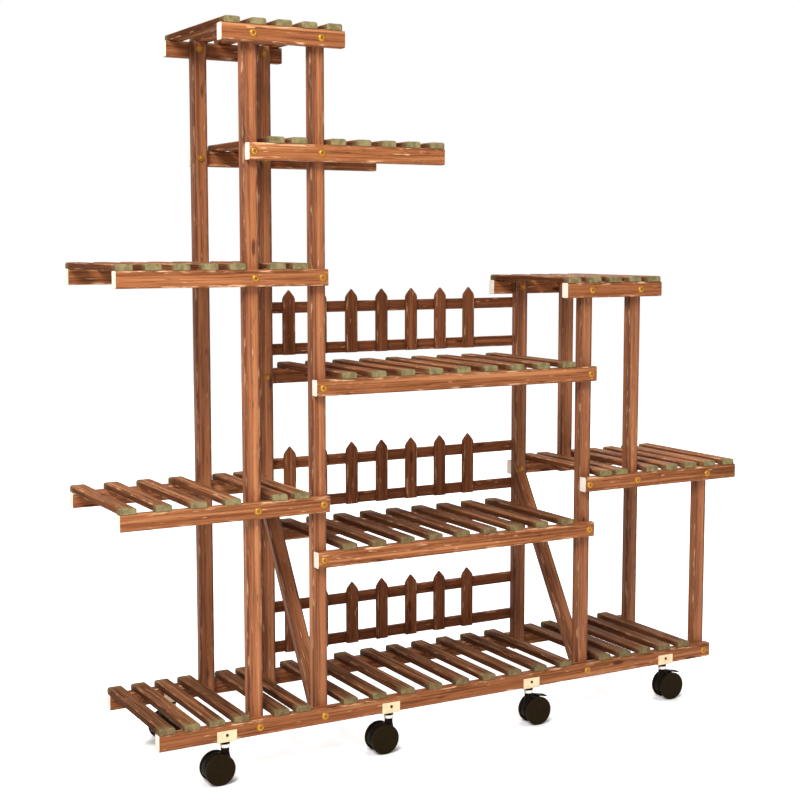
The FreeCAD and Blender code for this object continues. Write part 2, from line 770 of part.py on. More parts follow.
doc.recompute()
for item in doc.Objects:
    if "Invalid" in item.State or "Error" in item.State:
        raise RuntimeError(f"{item.Name} failed to build")
for piece in pieces:
    if piece.Shape.isNull() or not piece.Shape.isValid():
        raise RuntimeError(f"{piece.Label} has no valid shape")
os.makedirs("parts", exist_ok=True)
for piece in pieces:
    piece.Shape.exportStep(f"parts/{piece.Label}.step")
print(len(pieces), "sub-parts written")
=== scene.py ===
import json
import math
import random

import bmesh
import bpy
from bpy.props import FloatProperty, FloatVectorProperty, PointerProperty
from mathutils import Matrix, Vector

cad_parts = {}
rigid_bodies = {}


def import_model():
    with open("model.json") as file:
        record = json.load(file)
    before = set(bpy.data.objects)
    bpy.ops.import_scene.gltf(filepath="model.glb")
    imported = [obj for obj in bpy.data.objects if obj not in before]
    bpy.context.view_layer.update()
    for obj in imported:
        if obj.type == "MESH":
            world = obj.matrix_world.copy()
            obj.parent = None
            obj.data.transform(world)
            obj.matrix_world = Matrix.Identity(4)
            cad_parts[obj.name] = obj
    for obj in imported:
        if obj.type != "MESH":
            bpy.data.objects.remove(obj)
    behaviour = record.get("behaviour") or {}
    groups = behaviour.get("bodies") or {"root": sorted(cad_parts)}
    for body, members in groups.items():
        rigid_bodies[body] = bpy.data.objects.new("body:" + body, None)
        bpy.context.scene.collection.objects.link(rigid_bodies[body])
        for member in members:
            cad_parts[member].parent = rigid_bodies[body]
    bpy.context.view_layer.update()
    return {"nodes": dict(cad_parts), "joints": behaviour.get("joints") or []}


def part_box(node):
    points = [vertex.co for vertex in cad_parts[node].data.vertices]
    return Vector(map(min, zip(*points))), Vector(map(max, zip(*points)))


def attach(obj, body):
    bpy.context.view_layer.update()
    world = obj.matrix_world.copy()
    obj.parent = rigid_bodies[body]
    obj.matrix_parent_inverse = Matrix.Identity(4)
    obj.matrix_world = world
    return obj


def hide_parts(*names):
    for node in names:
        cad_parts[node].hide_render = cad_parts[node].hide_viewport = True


# Looks of a tiered plant stand: stained timber, brass bolts, zinc brackets and twin-wheel casters.
# Lengths are in metres, in the CAD model's frame: X along the stand, -Y its front, Z up.

bl_info = {
    "name": "Ladder plant stand",
    "version": (1, 0, 0),
    "blender": (4, 5, 0),
    "location": "3D View > Sidebar > Plant Stand",
    "description": "Dresses the CAD model of a tiered plant stand in timber, brass, zinc and plastic",
    "category": "Object",
}

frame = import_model()
NODES = frame["nodes"]

X, Y, Z = 0, 1, 2
ALL_AXES = (X, Y, Z)
QUARTER_TURN = math.pi / 2
HALF_TURN = math.pi
FULL_TURN = 2 * math.pi
MM = 0.001

SHELVES = (
    "base", "center_low", "right_low", "lower_left", "center_high",
    "right_high", "left", "upper", "crown",
)
COLUMNS = ("outer_left", "inner_left", "middle", "inner_right", "outer_right")
SIDES = ("front", "back")
FENCES = ("base", "center_low", "center_high")
CASTERS = (
    "front_left", "front_center_left", "front_center_right", "front_right", "back_left", "back_right",
)
BRAKED = ("front_center_right", "front_right")

# The axes that a stick runs along, and has its width and its depth on, by the axis it runs along.
RUNS = {X: (X, Z, Y), Y: (Y, X, Z), Z: (Z, X, Y)}

# How light each kind of stick is made, about 0 where it is dark and 1 where it is light, the back sticks
# darker than the front ones, and what some rails add to theirs.
STICK_TONES = {"front": 0.57, "back": 0.43}
# Painted shade and light per shelf on the rails: darker on base, center_high and center_low, lighter on
# right_high.
RAIL_PAINTED_SHADES = {"base": -0.11, "center_high": -0.07, "center_low": -0.04, "right_high": 0.08}
FENCE_TONE = 0.74
BRACE_TONE = 0.38
TONE_SPREAD = 0.12
# The slats' tone per shelf holds painted shade and light: darkest on base and center_low, which lie under
# other shelves, and lightest, a painted light, on right_low.
SLAT_LIGHT_AND_SHADE_TONES = {
    "base": 0.20, "center_low": 0.20, "right_low": 1.12, "lower_left": 0.80, "center_high": 0.70,
    "right_high": 0.70, "left": 0.70, "upper": 0.70, "crown": 0.70,
}

# Digits after the point that tell a place in metres apart from the next.
PLACE_DIGITS = 4
MERGE_DISTANCE = 0.01 * MM
FLAT_ALIGNMENT = 0.9999
FLAT_AREA_SHARE = 0.1
PARALLEL = 0.99
ROUND_STEPS = 24
WHEEL_STEPS = 64


# The curve of a display: the highest value, the top and slope of its straight foot, and the curve above.
DISPLAY_TOP = 255
FOOT_TOP, FOOT_SLOPE, CURVE_OFFSET, CURVE_POWER = 0.04045, 12.92, 0.055, 2.4


def paint(red, green, blue):
    """A linear colour from the three display values, 0 to 255, that it should look like."""
    def linear(value):
        share = value / DISPLAY_TOP
        if share <= FOOT_TOP:
            return share / FOOT_SLOPE
        return ((share + CURVE_OFFSET) / (1 + CURVE_OFFSET)) ** CURVE_POWER
    return (linear(red), linear(green), linear(blue))


def length(name, description, millimetres):
    return FloatProperty(name=name, description=description, default=millimetres * MM, min=0,
                         unit="LENGTH", subtype="DISTANCE", precision=PLACE_DIGITS)


def colour(name, description, *display):
    return FloatVectorProperty(name=name, description=description, default=paint(*display), size=3,
                               min=0, max=1, subtype="COLOR")


class TimberSizes(bpy.types.PropertyGroup):
    """Roundings of the timber, which the CAD model leaves to the looks."""
    stick_round: length("Stick rounding", "Rounding of the long edges of posts and rails", 2.5)
    slat_round: length("Slat rounding", "Rounding of the long top edges of a slat", 3.5)
    slat_under_round: length("Slat lower rounding", "Rounding of a slat's long lower edges", 0.8)
    fence_round: length("Fence rounding", "Rounding of the edges of pickets and fence rails", 1.2)
    end_round: length("End rounding", "Rounding of the sawn ends of all timber", 0.8)
    picket_point: length("Picket point", "Height of the pointed top of a picket", 13)
    picket_shoulder: length("Picket shoulder", "Rounding of a picket's shoulders", 4)
    brace_thickness: length("Brace thickness", "Thickness of a slanted brace", 15)
    brace_foot: length("Brace foot", "How far under the base slats the brace's foot is centred", 3)
    moss_depth: length("Green depth", "Depth of the full green on a slat's ends", 1.2)
    moss_fade: length("Green fade", "How far the green fades along a slat", 24)
    cut_depth: length("Cut end depth", "Depth of the pale colour on a rail's ends", 0.5)


class FixingSizes(bpy.types.PropertyGroup):
    """Sizes of the bolts, nuts, brackets and stems."""
    head_excess: length("Head excess", "How far a domed bolt head reaches past its CAD head", 0.6)
    socket_width: length("Socket width", "Width across the flats of the socket in a bolt's head", 4.2)
    socket_depth: length("Socket depth", "Depth of the socket in a bolt's head", 2)
    washer_width: length("Washer width", "How far a brass washer shows round its head or nut", 1.1)
    washer_height: length("Washer height", "Height of a brass washer", 0.5)
    washer_bore: length("Washer bore", "Radius of a brass washer's bore", 2.5)
    nut_excess: length("Nut excess", "How much wider a nut is than its CAD nut", 1.2)
    nut_chamfer: length("Nut chamfer", "Chamfer of a nut's corners", 0.5)
    tail_radius: length("Tail radius", "Radius of a bolt's threaded end", 3)
    tail_length: length("Tail length", "Length of the threaded end that shows in a nut", 1.6)
    tail_cone: length("Tail cone", "Height of the cone at the tip of a thread", 0.25)
    bracket_wall: length("Bracket wall", "Thickness of the bracket's sheet metal", 1.5)
    bracket_bend: length("Bracket bend", "Outer radius of the bracket's two bends", 2.2)
    bracket_edge: length("Bracket edge", "Rounding of the bracket's cut edges", 0.3)
    screw_radius: length("Screw radius", "Radius of a bracket screw's head", 2.6)
    screw_height: length("Screw height", "Height of a bracket screw's head", 1.3)
    screw_socket: length("Screw socket", "Radius of the round socket in a screw's head", 1.3)
    screw_seat: length("Screw seat", "Depth of a screw's seat behind the front of its CAD head", 1.5)
    screw_tail: length("Screw tail", "Radius of a screw's end at the bracket's far wall", 2)
    screw_reach: length("Screw reach", "How far a screw's end shows at the bracket's far wall", 0.9)
    stem_radius: length("Stem radius", "Radius of a caster's stem", 4)
    stem_chamfer: length("Stem chamfer", "Chamfer of a stem's foot", 0.4)
    stem_nut_width: length("Stem nut width", "Width across the flats of a stem's nut", 13.5)
    stem_nut_height: length("Stem nut height", "Height of a stem's nut", 4.4)
    stem_nut_chamfer: length("Stem nut chamfer", "Chamfer of a stem nut's corners", 0.7)
    ring_radius: length("Ring radius", "Radius of the white ring under a stem's nut", 7.75)
    ring_height: length("Ring height", "Height of the white ring", 5.4)
    ring_round: length("Ring rounding", "Chamfer of the white ring", 0.8)


class CasterSizes(bpy.types.PropertyGroup):
    """Sizes of the caster housings, wheels and brake levers."""
    wheel_rim: length("Wheel rim", "Width of the raised rim round a wheel's outer face", 2.4)
    wheel_dish: length("Wheel dish", "Depth of a wheel's outer face inside its rim", 0.5)
    rim_slope: length("Rim slope", "Width of the slope from the rim down to the face", 0.6)
    tread_round: length("Tread rounding", "Rounding of a wheel's tread towards its outer face", 1.8)
    tread_edge: length("Tread edge", "Chamfer of a wheel's tread towards the hood", 0.6)
    shoulder_drop: length("Shoulder drop", "How far the wheel's shoulder lies inside its tread", 3.6)
    side_gap: length("Side gap", "Gap between a wheel and the web or hood beside it", 0.4)
    axle_radius: length("Axle radius", "Radius of a caster's axle", 3)
    web_width: length("Web width", "Width of the web between the wheels", 11)
    hood_wall: length("Hood wall", "Thickness of the hood over the wheels", 2)
    soft_edge: length("Soft edge", "Chamfer of the hood's and neck's edges", 0.6)
    neck_radius: length("Neck radius", "Radius of the neck that the stem turns in", 6.7)
    neck_rise: length("Neck rise", "How far the neck's rim rises past the CAD neck", 1.6)
    neck_root: length("Neck root", "Height of the neck's foot over the axle", 6)
    neck_flare: length("Neck flare", "How much wider the neck is where it leaves the hood", 2.2)
    flare_top: length("Flare top", "Depth of the flare's top under the neck's top", 7.6)
    flare_middle: length("Flare middle", "Depth of the flare's middle under the neck's top", 10.6)
    flare_foot: length("Flare foot", "Depth of the flare's foot under the neck's top", 16.1)
    bore_depth: length("Bore depth", "Depth of the stem's bore in the neck", 8.4)
    bore_gap: length("Bore gap", "Clearance of the stem in its bore", 0.1)
    lever_inner: length("Lever inner reach", "Reach of the lever's tab towards the stem", 6)
    lever_outer: length("Lever outer reach", "Reach of the lever's tab away from the stem", 18)
    lever_width: length("Lever width", "Width of the lever's tab", 12)
    lever_lift: length("Lever lift", "Height of the tab's underside over the pin", 8.8)
    lever_thickness: length("Lever thickness", "Thickness of the lever's tab", 2)
    lever_corner: length("Lever corner", "Rounding of the tab's corners", 2.5)
    lever_edge: length("Lever edge", "Rounding of the lever's edges", 0.5)
    stalk_length: length("Stalk length", "Length of the lever's stalk along the stand", 5)
    stalk_width: length("Stalk width", "Width of the lever's stalk", 6)
    ridge_start: length("Ridge start", "Where the first grip ridge starts on the tab", 8)
    ridge_pitch: length("Ridge pitch", "Distance from one grip ridge to the next", 3)
    ridge_length: length("Ridge length", "Length of a grip ridge along the stand", 1.2)
    ridge_width: length("Ridge width", "Width of a grip ridge", 9)
    ridge_height: length("Ridge height", "Height of a grip ridge over the tab", 0.5)
    ridge_edge: length("Ridge edge", "Rounding of a grip ridge", 0.3)
    pin_radius: length("Pin radius", "Radius of the brake's pin", 1.5)
    pin_length: length("Pin length", "Length of the brake's pin", 10.4)


class StandColours(bpy.types.PropertyGroup):
    """Colours of the stand, each as it looks in plain light."""
    post_stain: colour("Post stain", "Common colour of the posts", 168, 102, 60)
    post_deep: colour("Post grain", "Dark grain of the posts", 120, 67, 37)
    rail_stain: colour("Rail stain", "Common colour of the rails", 164, 100, 60)
    rail_deep: colour("Rail grain", "Dark grain of the rails", 116, 64, 34)
    slat_stain: colour("Slat stain", "Common colour of the slats", 150, 96, 60)
    slat_deep: colour("Slat grain", "Dark grain of the slats", 84, 46, 25)
    fence_stain: colour("Fence stain", "Common colour of the picket fences", 126, 74, 46)
    fence_deep: colour("Fence grain", "Dark grain of the picket fences", 94, 51, 29)
    streak: colour("Pale streak", "Pale streaks in the stain", 204, 136, 88)
    # The pale of nicks and worn edges; along the rounded edges it is also a painted highlight.
    nick_and_highlight: colour("Nick and highlight", "Small nicks and worn edges that show pale wood", 236, 186, 142)
    # Also the colour of the painted shade on rounded edges and on the sides of slats.
    knot_and_shade: colour("Knot and shade", "Small knots and dark flecks", 70, 34, 18)
    moss: colour("Green slat ends", "Green wax on the ends of the slats", 141, 130, 91)
    cut_end: colour("Cut end", "Pale cut ends of the rails", 248, 238, 222)
    brass: colour("Brass", "Brass of the bolts", 188, 130, 50)
    tarnish: colour("Tarnish", "Dull brass of the nuts, washers and hollows", 150, 102, 28)
    zinc: colour("Pale zinc", "Pale yellow zinc of the brackets", 240, 217, 177)
    zinc_stain: colour("Zinc stain", "Warm stain on the brackets", 222, 190, 144)
    screw: colour("Screw", "Blackened screws", 52, 34, 24)
    stem: colour("Stem", "Zinc of the stems", 176, 176, 178)
    ring: colour("Ring", "White ring under the nut of a stem", 250, 246, 240)
    housing: colour("Housing", "Black plastic of the caster housings", 17, 12, 8)
    wheel: colour("Wheel", "Brown black plastic of the wheels", 32, 23, 9)
    dust: colour("Dust", "Dust and scuffs on the plastic", 52, 40, 25)
    floor: colour("Floor", "Pale floor", 252, 252, 252)


class StageSettings(bpy.types.PropertyGroup):
    """Camera, lamps and floor."""
    camera_place: FloatVectorProperty(name="Camera place", description="Where the camera stands", size=3,
                                      default=(-1.2912, -2.2021, 0.8407), subtype="TRANSLATION",
                                      unit="LENGTH")
    camera_tilt: FloatProperty(name="Camera tilt", description="How far the camera looks below level",
                               default=0.1063442, subtype="ANGLE", unit="ROTATION")
    camera_turn: FloatProperty(name="Camera turn", description="Turn of the camera from the stand's depth",
                               default=-0.5125303, subtype="ANGLE", unit="ROTATION")
    camera_lens: FloatProperty(name="Camera lens", description="Focal length in millimetres",
                               default=66.503, min=1, subtype="DISTANCE_CAMERA")
    surround: FloatProperty(name="Surround", description="Strength of the even light all round",
                            default=0.45, min=0, max=1, subtype="FACTOR")
    key_place: FloatVectorProperty(name="Key lamp place", description="Where the key lamp hangs",
                                   size=3, default=(-2, -1.95, 2.65), subtype="TRANSLATION",
                                   unit="LENGTH")
    key_power: FloatProperty(name="Key lamp", description="Power of the lamp at the front left",
                             default=126, min=0, subtype="POWER", unit="POWER")
    key_size: length("Key lamp size", "Width of the lamp at the front left", 1400)
    back_place: FloatVectorProperty(name="Back lamp place", description="Where the back lamp hangs",
                                    size=3, default=(2.4, 2.4, 2.4), subtype="TRANSLATION",
                                    unit="LENGTH")
    back_power: FloatProperty(name="Back lamp", description="Power of the lamp at the back right",
                              default=55, min=0, subtype="POWER", unit="POWER")
    back_size: length("Back lamp size", "Width of the lamp at the back right", 2000)
    aim_height: length("Aim height", "Height over the floor that the lamps point at", 500)
    floor_reach: length("Floor reach", "How far the floor reaches each way", 6000)
    floor_lift: FloatProperty(name="Floor lift", description="Light only the camera sees on the floor",
                              default=0.75, min=0, max=1, subtype="FACTOR")
    # How far the floor's painted shadow beside the wheels reaches.
    painted_shadow_reach: length("Contact shadow", "How far from a wheel's foot the floor is darker", 57)


class TimberLook:
    """Shares from 0 to 1 of fine grain, a painted highlight band, painted shade on the rounded edges and
    on the sides, pale streaks, wear with a painted highlight along the edges, and shine.
    """

    def __init__(self, fineness, highlight_band, rim, side, streaks, wear, sheen):
        self.fineness = fineness
        self.highlight_band = highlight_band
        self.rim = rim
        self.side = side
        self.streaks = streaks
        self.wear = wear
        self.sheen = sheen


# A post's highlight band is a painted highlight and its rim is painted shade on its rounded edges; a fence
# has a little of that shade, and a slat's side is painted shade between the slats.
POST_LOOK = TimberLook(fineness=0.6, highlight_band=0.45, rim=0.6, side=0, streaks=0.6, wear=0.4, sheen=0.3)
RAIL_LOOK = TimberLook(fineness=0.65, highlight_band=0, rim=0, side=0, streaks=0.75, wear=1, sheen=0.12)
SLAT_LOOK = TimberLook(fineness=0.65, highlight_band=0, rim=0, side=0.75, streaks=0.75, wear=0.5, sheen=0.02)
FENCE_LOOK = TimberLook(fineness=0.6, highlight_band=0, rim=0.2, side=0, streaks=0.25, wear=0.4, sheen=0.05)


class EndLook:
    """The colour of a stick's ends, its patches, how much it covers, its depth and its fade."""

    def __init__(self, colour_value, grime, cover, depth, fade=0):
        self.colour = colour_value
        self.grime = grime
        self.cover = cover
        self.depth = depth
        self.fade = fade


def opaque(colour_value):
    return (*colour_value, 1)


# Shader trees. A stretch is how many spots of noise fit in a metre along, across and in depth.

NOISE_DETAIL, NOISE_ROUGH, PLAIN_DETAIL = 2, 0.5, 1


class Tree:
    """Adds nodes to a node tree and joins them."""

    def __init__(self, node_tree):
        self.tree = node_tree

    def add(self, kind, settings=None, **inputs):
        """A node with its settings, and its sockets given by name, an underline for each space."""
        node = self.tree.nodes.new(kind)
        for name, value in (settings or {}).items():
            setattr(node, name, value)
        for name, value in inputs.items():
            self.feed(node.inputs[name.replace("_", " ")], value)
        return node

    def feed(self, socket, value):
        if isinstance(value, bpy.types.NodeSocket):
            self.tree.links.new(value, socket)
        else:
            socket.default_value = value

    def math(self, operation, *values):
        node = self.add("ShaderNodeMath", {"operation": operation})
        for socket, value in zip(node.inputs, values):
            self.feed(socket, value)
        return node.outputs["Value"]

    def blend(self, factor, first, second, mode="MIX"):
        node = self.add("ShaderNodeMix", {"data_type": "RGBA", "blend_type": mode})
        colours = [socket for socket in node.inputs if socket.type == "RGBA"]
        self.feed(node.inputs["Factor"], factor)
        self.feed(colours[0], first)
        self.feed(colours[1], second)
        return next(socket for socket in node.outputs if socket.type == "RGBA")

    def shade(self, colour_value, brightness):
        """A colour made lighter or darker by a changing brightness."""
        grey = self.add("ShaderNodeCombineColor", Red=brightness, Green=brightness, Blue=brightness)
        return self.blend(1, colour_value, grey.outputs["Color"], "MULTIPLY")

    def ramp(self, value, limits, ends=(0, 1)):
        """The first end below the limits, the last above them, and a smooth way between."""
        node = self.add("ShaderNodeMapRange", {"interpolation_type": "SMOOTHSTEP"}, Value=value,
                        From_Min=limits[0], From_Max=limits[1], To_Min=ends[0], To_Max=ends[1])
        return node.outputs["Result"]

    def noise(self, vector, stretch, detail=NOISE_DETAIL, rough=NOISE_ROUGH):
        mapping = self.add("ShaderNodeMapping", Vector=vector, Scale=stretch)
        node = self.add("ShaderNodeTexNoise", Vector=mapping.outputs["Vector"], Scale=1, Detail=detail,
                        Roughness=rough)
        return node.outputs["Fac"]

    def spots(self, vector, stretch, limits, ends=(0, 1), detail=NOISE_DETAIL, rough=NOISE_ROUGH):
        """Noise cut to spots by its limits."""
        return self.ramp(self.noise(vector, stretch, detail, rough), limits, ends)


def new_group(name, inputs, outputs):
    """A shader node group with named sockets, and its tree, inputs and output node."""
    group = bpy.data.node_groups.new(name, "ShaderNodeTree")
    for socket_name, kind in inputs:
        group.interface.new_socket(socket_name, in_out="INPUT", socket_type="NodeSocket" + kind)
    for socket_name, kind in outputs:
        group.interface.new_socket(socket_name, in_out="OUTPUT", socket_type="NodeSocket" + kind)
    tree = Tree(group)
    return group, tree, tree.add("NodeGroupInput").outputs, tree.add("NodeGroupOutput").inputs


FINISH_OUTPUTS = (("Color", "Color"), ("Roughness", "Float"), ("Height", "Float"))

# The grain's noises, spots and waves: the stretch of each, the limits that cut it, and its share.
RING_STRETCH = (0.05, 1, 1)
RING_COUNT = 95
RING_WARP = 3.2
RING_SHARE = 0.2
BROAD_GRAIN, BROAD_LIMITS = (3, 80, 80), (0.3, 0.7)
FINE_GRAIN, FINE_LIMITS, FINE_DETAIL, FINE_ROUGH = (12, 360, 360), (0.3, 0.7), 3, 0.65
GRAIN_LIMITS = (0.12, 0.80)
# A painted highlight: a pale, swaying band along a face, a little off its middle, with the wood a little
# darker away from it.
HIGHLIGHT_BAND_SWAY, HIGHLIGHT_BAND_SWAY_SHARE, HIGHLIGHT_BAND_MIDDLE, HIGHLIGHT_BAND_LIMITS = (3, 10, 10), 0.9, 0.85, (0.05, 0.75)
HIGHLIGHT_BAND_EVENING = 0.4
STREAKS, STREAK_LIMITS = (1.9, 130, 130), (0.54, 0.72)
FLECKS, FLECK_LIMITS, FLECK_SHARE = (34, 300, 300), (0.66, 0.74), 0.55
KNOT_STRETCH, KNOT_LIMITS, KNOT_SHARE = (9, 34, 34), (0.07, 0.16), 0.85
NICKS, NICK_LIMITS, NICK_SHARE = (38, 300, 300), (0.69, 0.80), 0.9
NICK_WEAR_SHARE, NICK_LEAST = 0.6, 0.35
EDGE_LIMITS = (0.1, 0.42)
# Where the painted shade on the rounded edges begins and is full.
PAINTED_EDGE_SHADE_LIMITS = (0.14, 0.42)
# Where the painted shade on a stick's sides begins and is full.
PAINTED_SIDE_SHADE_LIMITS = (0.9, 1)
# Pale spots along the rounded edges: partly wear, partly a painted highlight.
EDGE_WEAR_AND_HIGHLIGHT_SPOTS, EDGE_WEAR_AND_HIGHLIGHT_LIMITS, EDGE_WEAR_AND_HIGHLIGHT_DETAIL = (34, 240, 240), (0.52, 0.68), 3
TONE_SHARE, TONE_LEAST = 0.8, 0.5
WOOD_ROUGHNESS, WOOD_ROUGHNESS_LIMITS = (0.68, 0.52), (0.1, 0.9)
RING_HEIGHT_SHARE = 0.4


def timber_group():
    """Grain, streaks, nicks, knots and worn edges of stained softwood, with a painted highlight band,
    painted shade on the rounded edges and on the sides, and a painted highlight along the edges.
    """
    inputs = (("Grain", "Vector"), ("Section", "Vector"), ("Tone", "Float"), ("Fineness", "Float"),
              ("Highlight band", "Float"), ("Rim", "Float"), ("Side", "Float"), ("Streaks", "Float"),
              ("Wear and highlight", "Float"), ("Stain", "Color"), ("Deep", "Color"), ("Streak", "Color"),
              ("Nick and highlight", "Color"), ("Knot and shade", "Color"))
    group, tree, given, out = new_group("Stained timber", inputs, FINISH_OUTPUTS)
    grain = given["Grain"]
    sides = tree.add("ShaderNodeSeparateXYZ", Vector=given["Section"]).outputs
    ring_vector = tree.add("ShaderNodeMapping", Vector=grain, Scale=RING_STRETCH).outputs["Vector"]
    rings = tree.add("ShaderNodeTexWave", {"wave_type": "RINGS", "rings_direction": "X"},
                     Vector=ring_vector, Scale=RING_COUNT, Distortion=RING_WARP, Detail=NOISE_DETAIL,
                     Detail_Roughness=NOISE_ROUGH).outputs["Fac"]
    broad = tree.spots(grain, BROAD_GRAIN, BROAD_LIMITS)
    fine = tree.spots(grain, FINE_GRAIN, FINE_LIMITS, (0, 1), FINE_DETAIL, FINE_ROUGH)
    lines = tree.math("MULTIPLY_ADD", given["Fineness"], tree.math("SUBTRACT", fine, broad), broad)
    # Painted highlight: a pale band along the stick near one edge of its face, and darker wood away from
    # it.
    sway = tree.math("MULTIPLY", tree.noise(grain, HIGHLIGHT_BAND_SWAY, PLAIN_DETAIL), HIGHLIGHT_BAND_SWAY_SHARE)
    swayed = tree.math("ADD", sides["X"], sway)
    from_band = tree.math("ABSOLUTE", tree.math("SUBTRACT", swayed, HIGHLIGHT_BAND_MIDDLE))
    highlight_band = tree.math("SUBTRACT", tree.ramp(from_band, HIGHLIGHT_BAND_LIMITS, (1, 0)), HIGHLIGHT_BAND_EVENING)
    lines = tree.math("MULTIPLY_ADD", highlight_band, given["Highlight band"], lines)
    mixed = tree.math("MULTIPLY_ADD", rings, RING_SHARE, tree.math("MULTIPLY", lines, 1 - RING_SHARE))
    wood = tree.blend(tree.ramp(mixed, GRAIN_LIMITS), given["Deep"], given["Stain"])
    streaks = tree.math("MULTIPLY", tree.spots(grain, STREAKS, STREAK_LIMITS), given["Streaks"])
    wood = tree.blend(streaks, wood, given["Streak"])
    flecks = tree.spots(grain, FLECKS, FLECK_LIMITS, (0, FLECK_SHARE), PLAIN_DETAIL)
    wood = tree.blend(flecks, wood, given["Knot and shade"])
    knot_vector = tree.add("ShaderNodeMapping", Vector=grain, Scale=KNOT_STRETCH).outputs["Vector"]
    knots = tree.add("ShaderNodeTexVoronoi", Vector=knot_vector, Scale=1).outputs["Distance"]
    wood = tree.blend(tree.ramp(knots, KNOT_LIMITS, (KNOT_SHARE, 0)), wood, given["Knot and shade"])
    nicks = tree.spots(grain, NICKS, NICK_LIMITS, (0, NICK_SHARE), PLAIN_DETAIL)
    wear = tree.math("MULTIPLY_ADD", given["Wear and highlight"], NICK_WEAR_SHARE, NICK_LEAST)
    wood = tree.blend(tree.math("MULTIPLY", nicks, wear), wood, given["Nick and highlight"])
    # Painted shade: the long rounded edges are darkened towards the knot colour, as where they turn away
    # from the light.
    inward = tree.math("MAXIMUM", tree.math("SUBTRACT", 1, tree.math("ABSOLUTE", sides["X"])),
                       tree.math("SUBTRACT", 1, tree.math("ABSOLUTE", sides["Y"])))
    rim = tree.math("MULTIPLY", tree.ramp(inward, PAINTED_EDGE_SHADE_LIMITS, (1, 0)), given["Rim"])
    # Painted shade on the sides of slats, where they face each other across the gaps.
    side = tree.math("MULTIPLY", tree.ramp(tree.math("ABSOLUTE", sides["X"]), PAINTED_SIDE_SHADE_LIMITS), given["Side"])
    # The painted shade of the edges and sides takes the knot colour.
    wood = tree.blend(tree.math("MAXIMUM", rim, side), wood, given["Knot and shade"])
    # Pale spots along the rounded edges, partly worn wood and partly a painted highlight where the edges
    # catch the light.
    near_edge = tree.ramp(inward, EDGE_LIMITS, (1, 0))
    wear_and_highlight = tree.spots(grain, EDGE_WEAR_AND_HIGHLIGHT_SPOTS, EDGE_WEAR_AND_HIGHLIGHT_LIMITS, (0, 1), EDGE_WEAR_AND_HIGHLIGHT_DETAIL)
    wear_and_highlight = tree.math("MULTIPLY", wear_and_highlight, tree.math("MULTIPLY", near_edge, given["Wear and highlight"]))
    wood = tree.blend(wear_and_highlight, wood, given["Nick and highlight"])
    brightness = tree.math("MULTIPLY_ADD", given["Tone"], TONE_SHARE, TONE_LEAST)
    tree.feed(out["Color"], tree.shade(wood, brightness))
    tree.feed(out["Roughness"], tree.ramp(mixed, WOOD_ROUGHNESS_LIMITS, WOOD_ROUGHNESS))
    tree.feed(out["Height"], tree.math("MULTIPLY_ADD", rings, RING_HEIGHT_SHARE, fine))
    return group


CLOUDS, CLOUD_LIMITS, CLOUD_DETAIL = (120, 120, 120), (0.35, 0.7), 3
SPECKLE = (1500, 1500, 1500)
SCUFFS, SCUFF_LIMITS, SCUFF_DETAIL, SCUFF_ROUGH = (260, 90, 420), (0.60, 0.74), 3, 0.7
FINISH_ROUGHNESS = (0.34, 0.52)
CLOUD_HEIGHT_SHARE = 0.4


def wear_group():
    """Cloudy stains, fine speckle and scuffs on metal and plastic."""
    inputs = (("Base", "Color"), ("Stain", "Color"), ("Scuff", "Color"), ("Amount", "Float"))
    group, tree, given, out = new_group("Worn finish", inputs, FINISH_OUTPUTS)
    place = tree.add("ShaderNodeTexCoord").outputs["Object"]
    clouds = tree.spots(place, CLOUDS, CLOUD_LIMITS, (0, 1), CLOUD_DETAIL)
    finish = tree.blend(tree.math("MULTIPLY", clouds, given["Amount"]), given["Base"], given["Stain"])
    scuffs = tree.spots(place, SCUFFS, SCUFF_LIMITS, (0, 1), SCUFF_DETAIL, SCUFF_ROUGH)
    finish = tree.blend(tree.math("MULTIPLY", scuffs, given["Amount"]), finish, given["Scuff"])
    tree.feed(out["Color"], finish)
    tree.feed(out["Roughness"], tree.ramp(clouds, (0, 1), FINISH_ROUGHNESS))
    speckle = tree.noise(place, SPECKLE, PLAIN_DETAIL)
    tree.feed(out["Height"], tree.math("MULTIPLY_ADD", clouds, CLOUD_HEIGHT_SHARE, speckle))
    return group


def shared_group(name, maker):
    return bpy.data.node_groups.get(name) or maker()


def new_material(name):
    """A material, its tree and its main shader."""
    material = bpy.data.materials.new(name)
    material.use_nodes = True
    return material, Tree(material.node_tree), material.node_tree.nodes["Principled BSDF"]


def finish_shader(tree, shader, group_name, maker, values, bump):
    """The shared finish with its own values, fed to the shader's roughness and normal."""
    group = tree.add("ShaderNodeGroup", {"node_tree": shared_group(group_name, maker)})
    for socket_name, value in values.items():
        tree.feed(group.inputs[socket_name], value)
    strength, distance = bump
    bumps = tree.add("ShaderNodeBump", Height=group.outputs["Height"], Strength=strength,
                     Distance=distance)
    tree.feed(shader.inputs["Roughness"], group.outputs["Roughness"])
    tree.feed(shader.inputs["Normal"], bumps.outputs["Normal"])
    return group.outputs["Color"]


# A bump is its strength and its height.
TIMBER_BUMP = (0.35, 0.4 * MM)
END_RAGGED, END_GRIME, END_DETAIL = (320, 320, 320), (100, 100, 100), 3
END_SOFTNESS = 0.3
GRIME_LIMITS = (0.35, 0.68)
COVER_TONES = (0.1, 0.7)
FADE_SHARE = 0.62


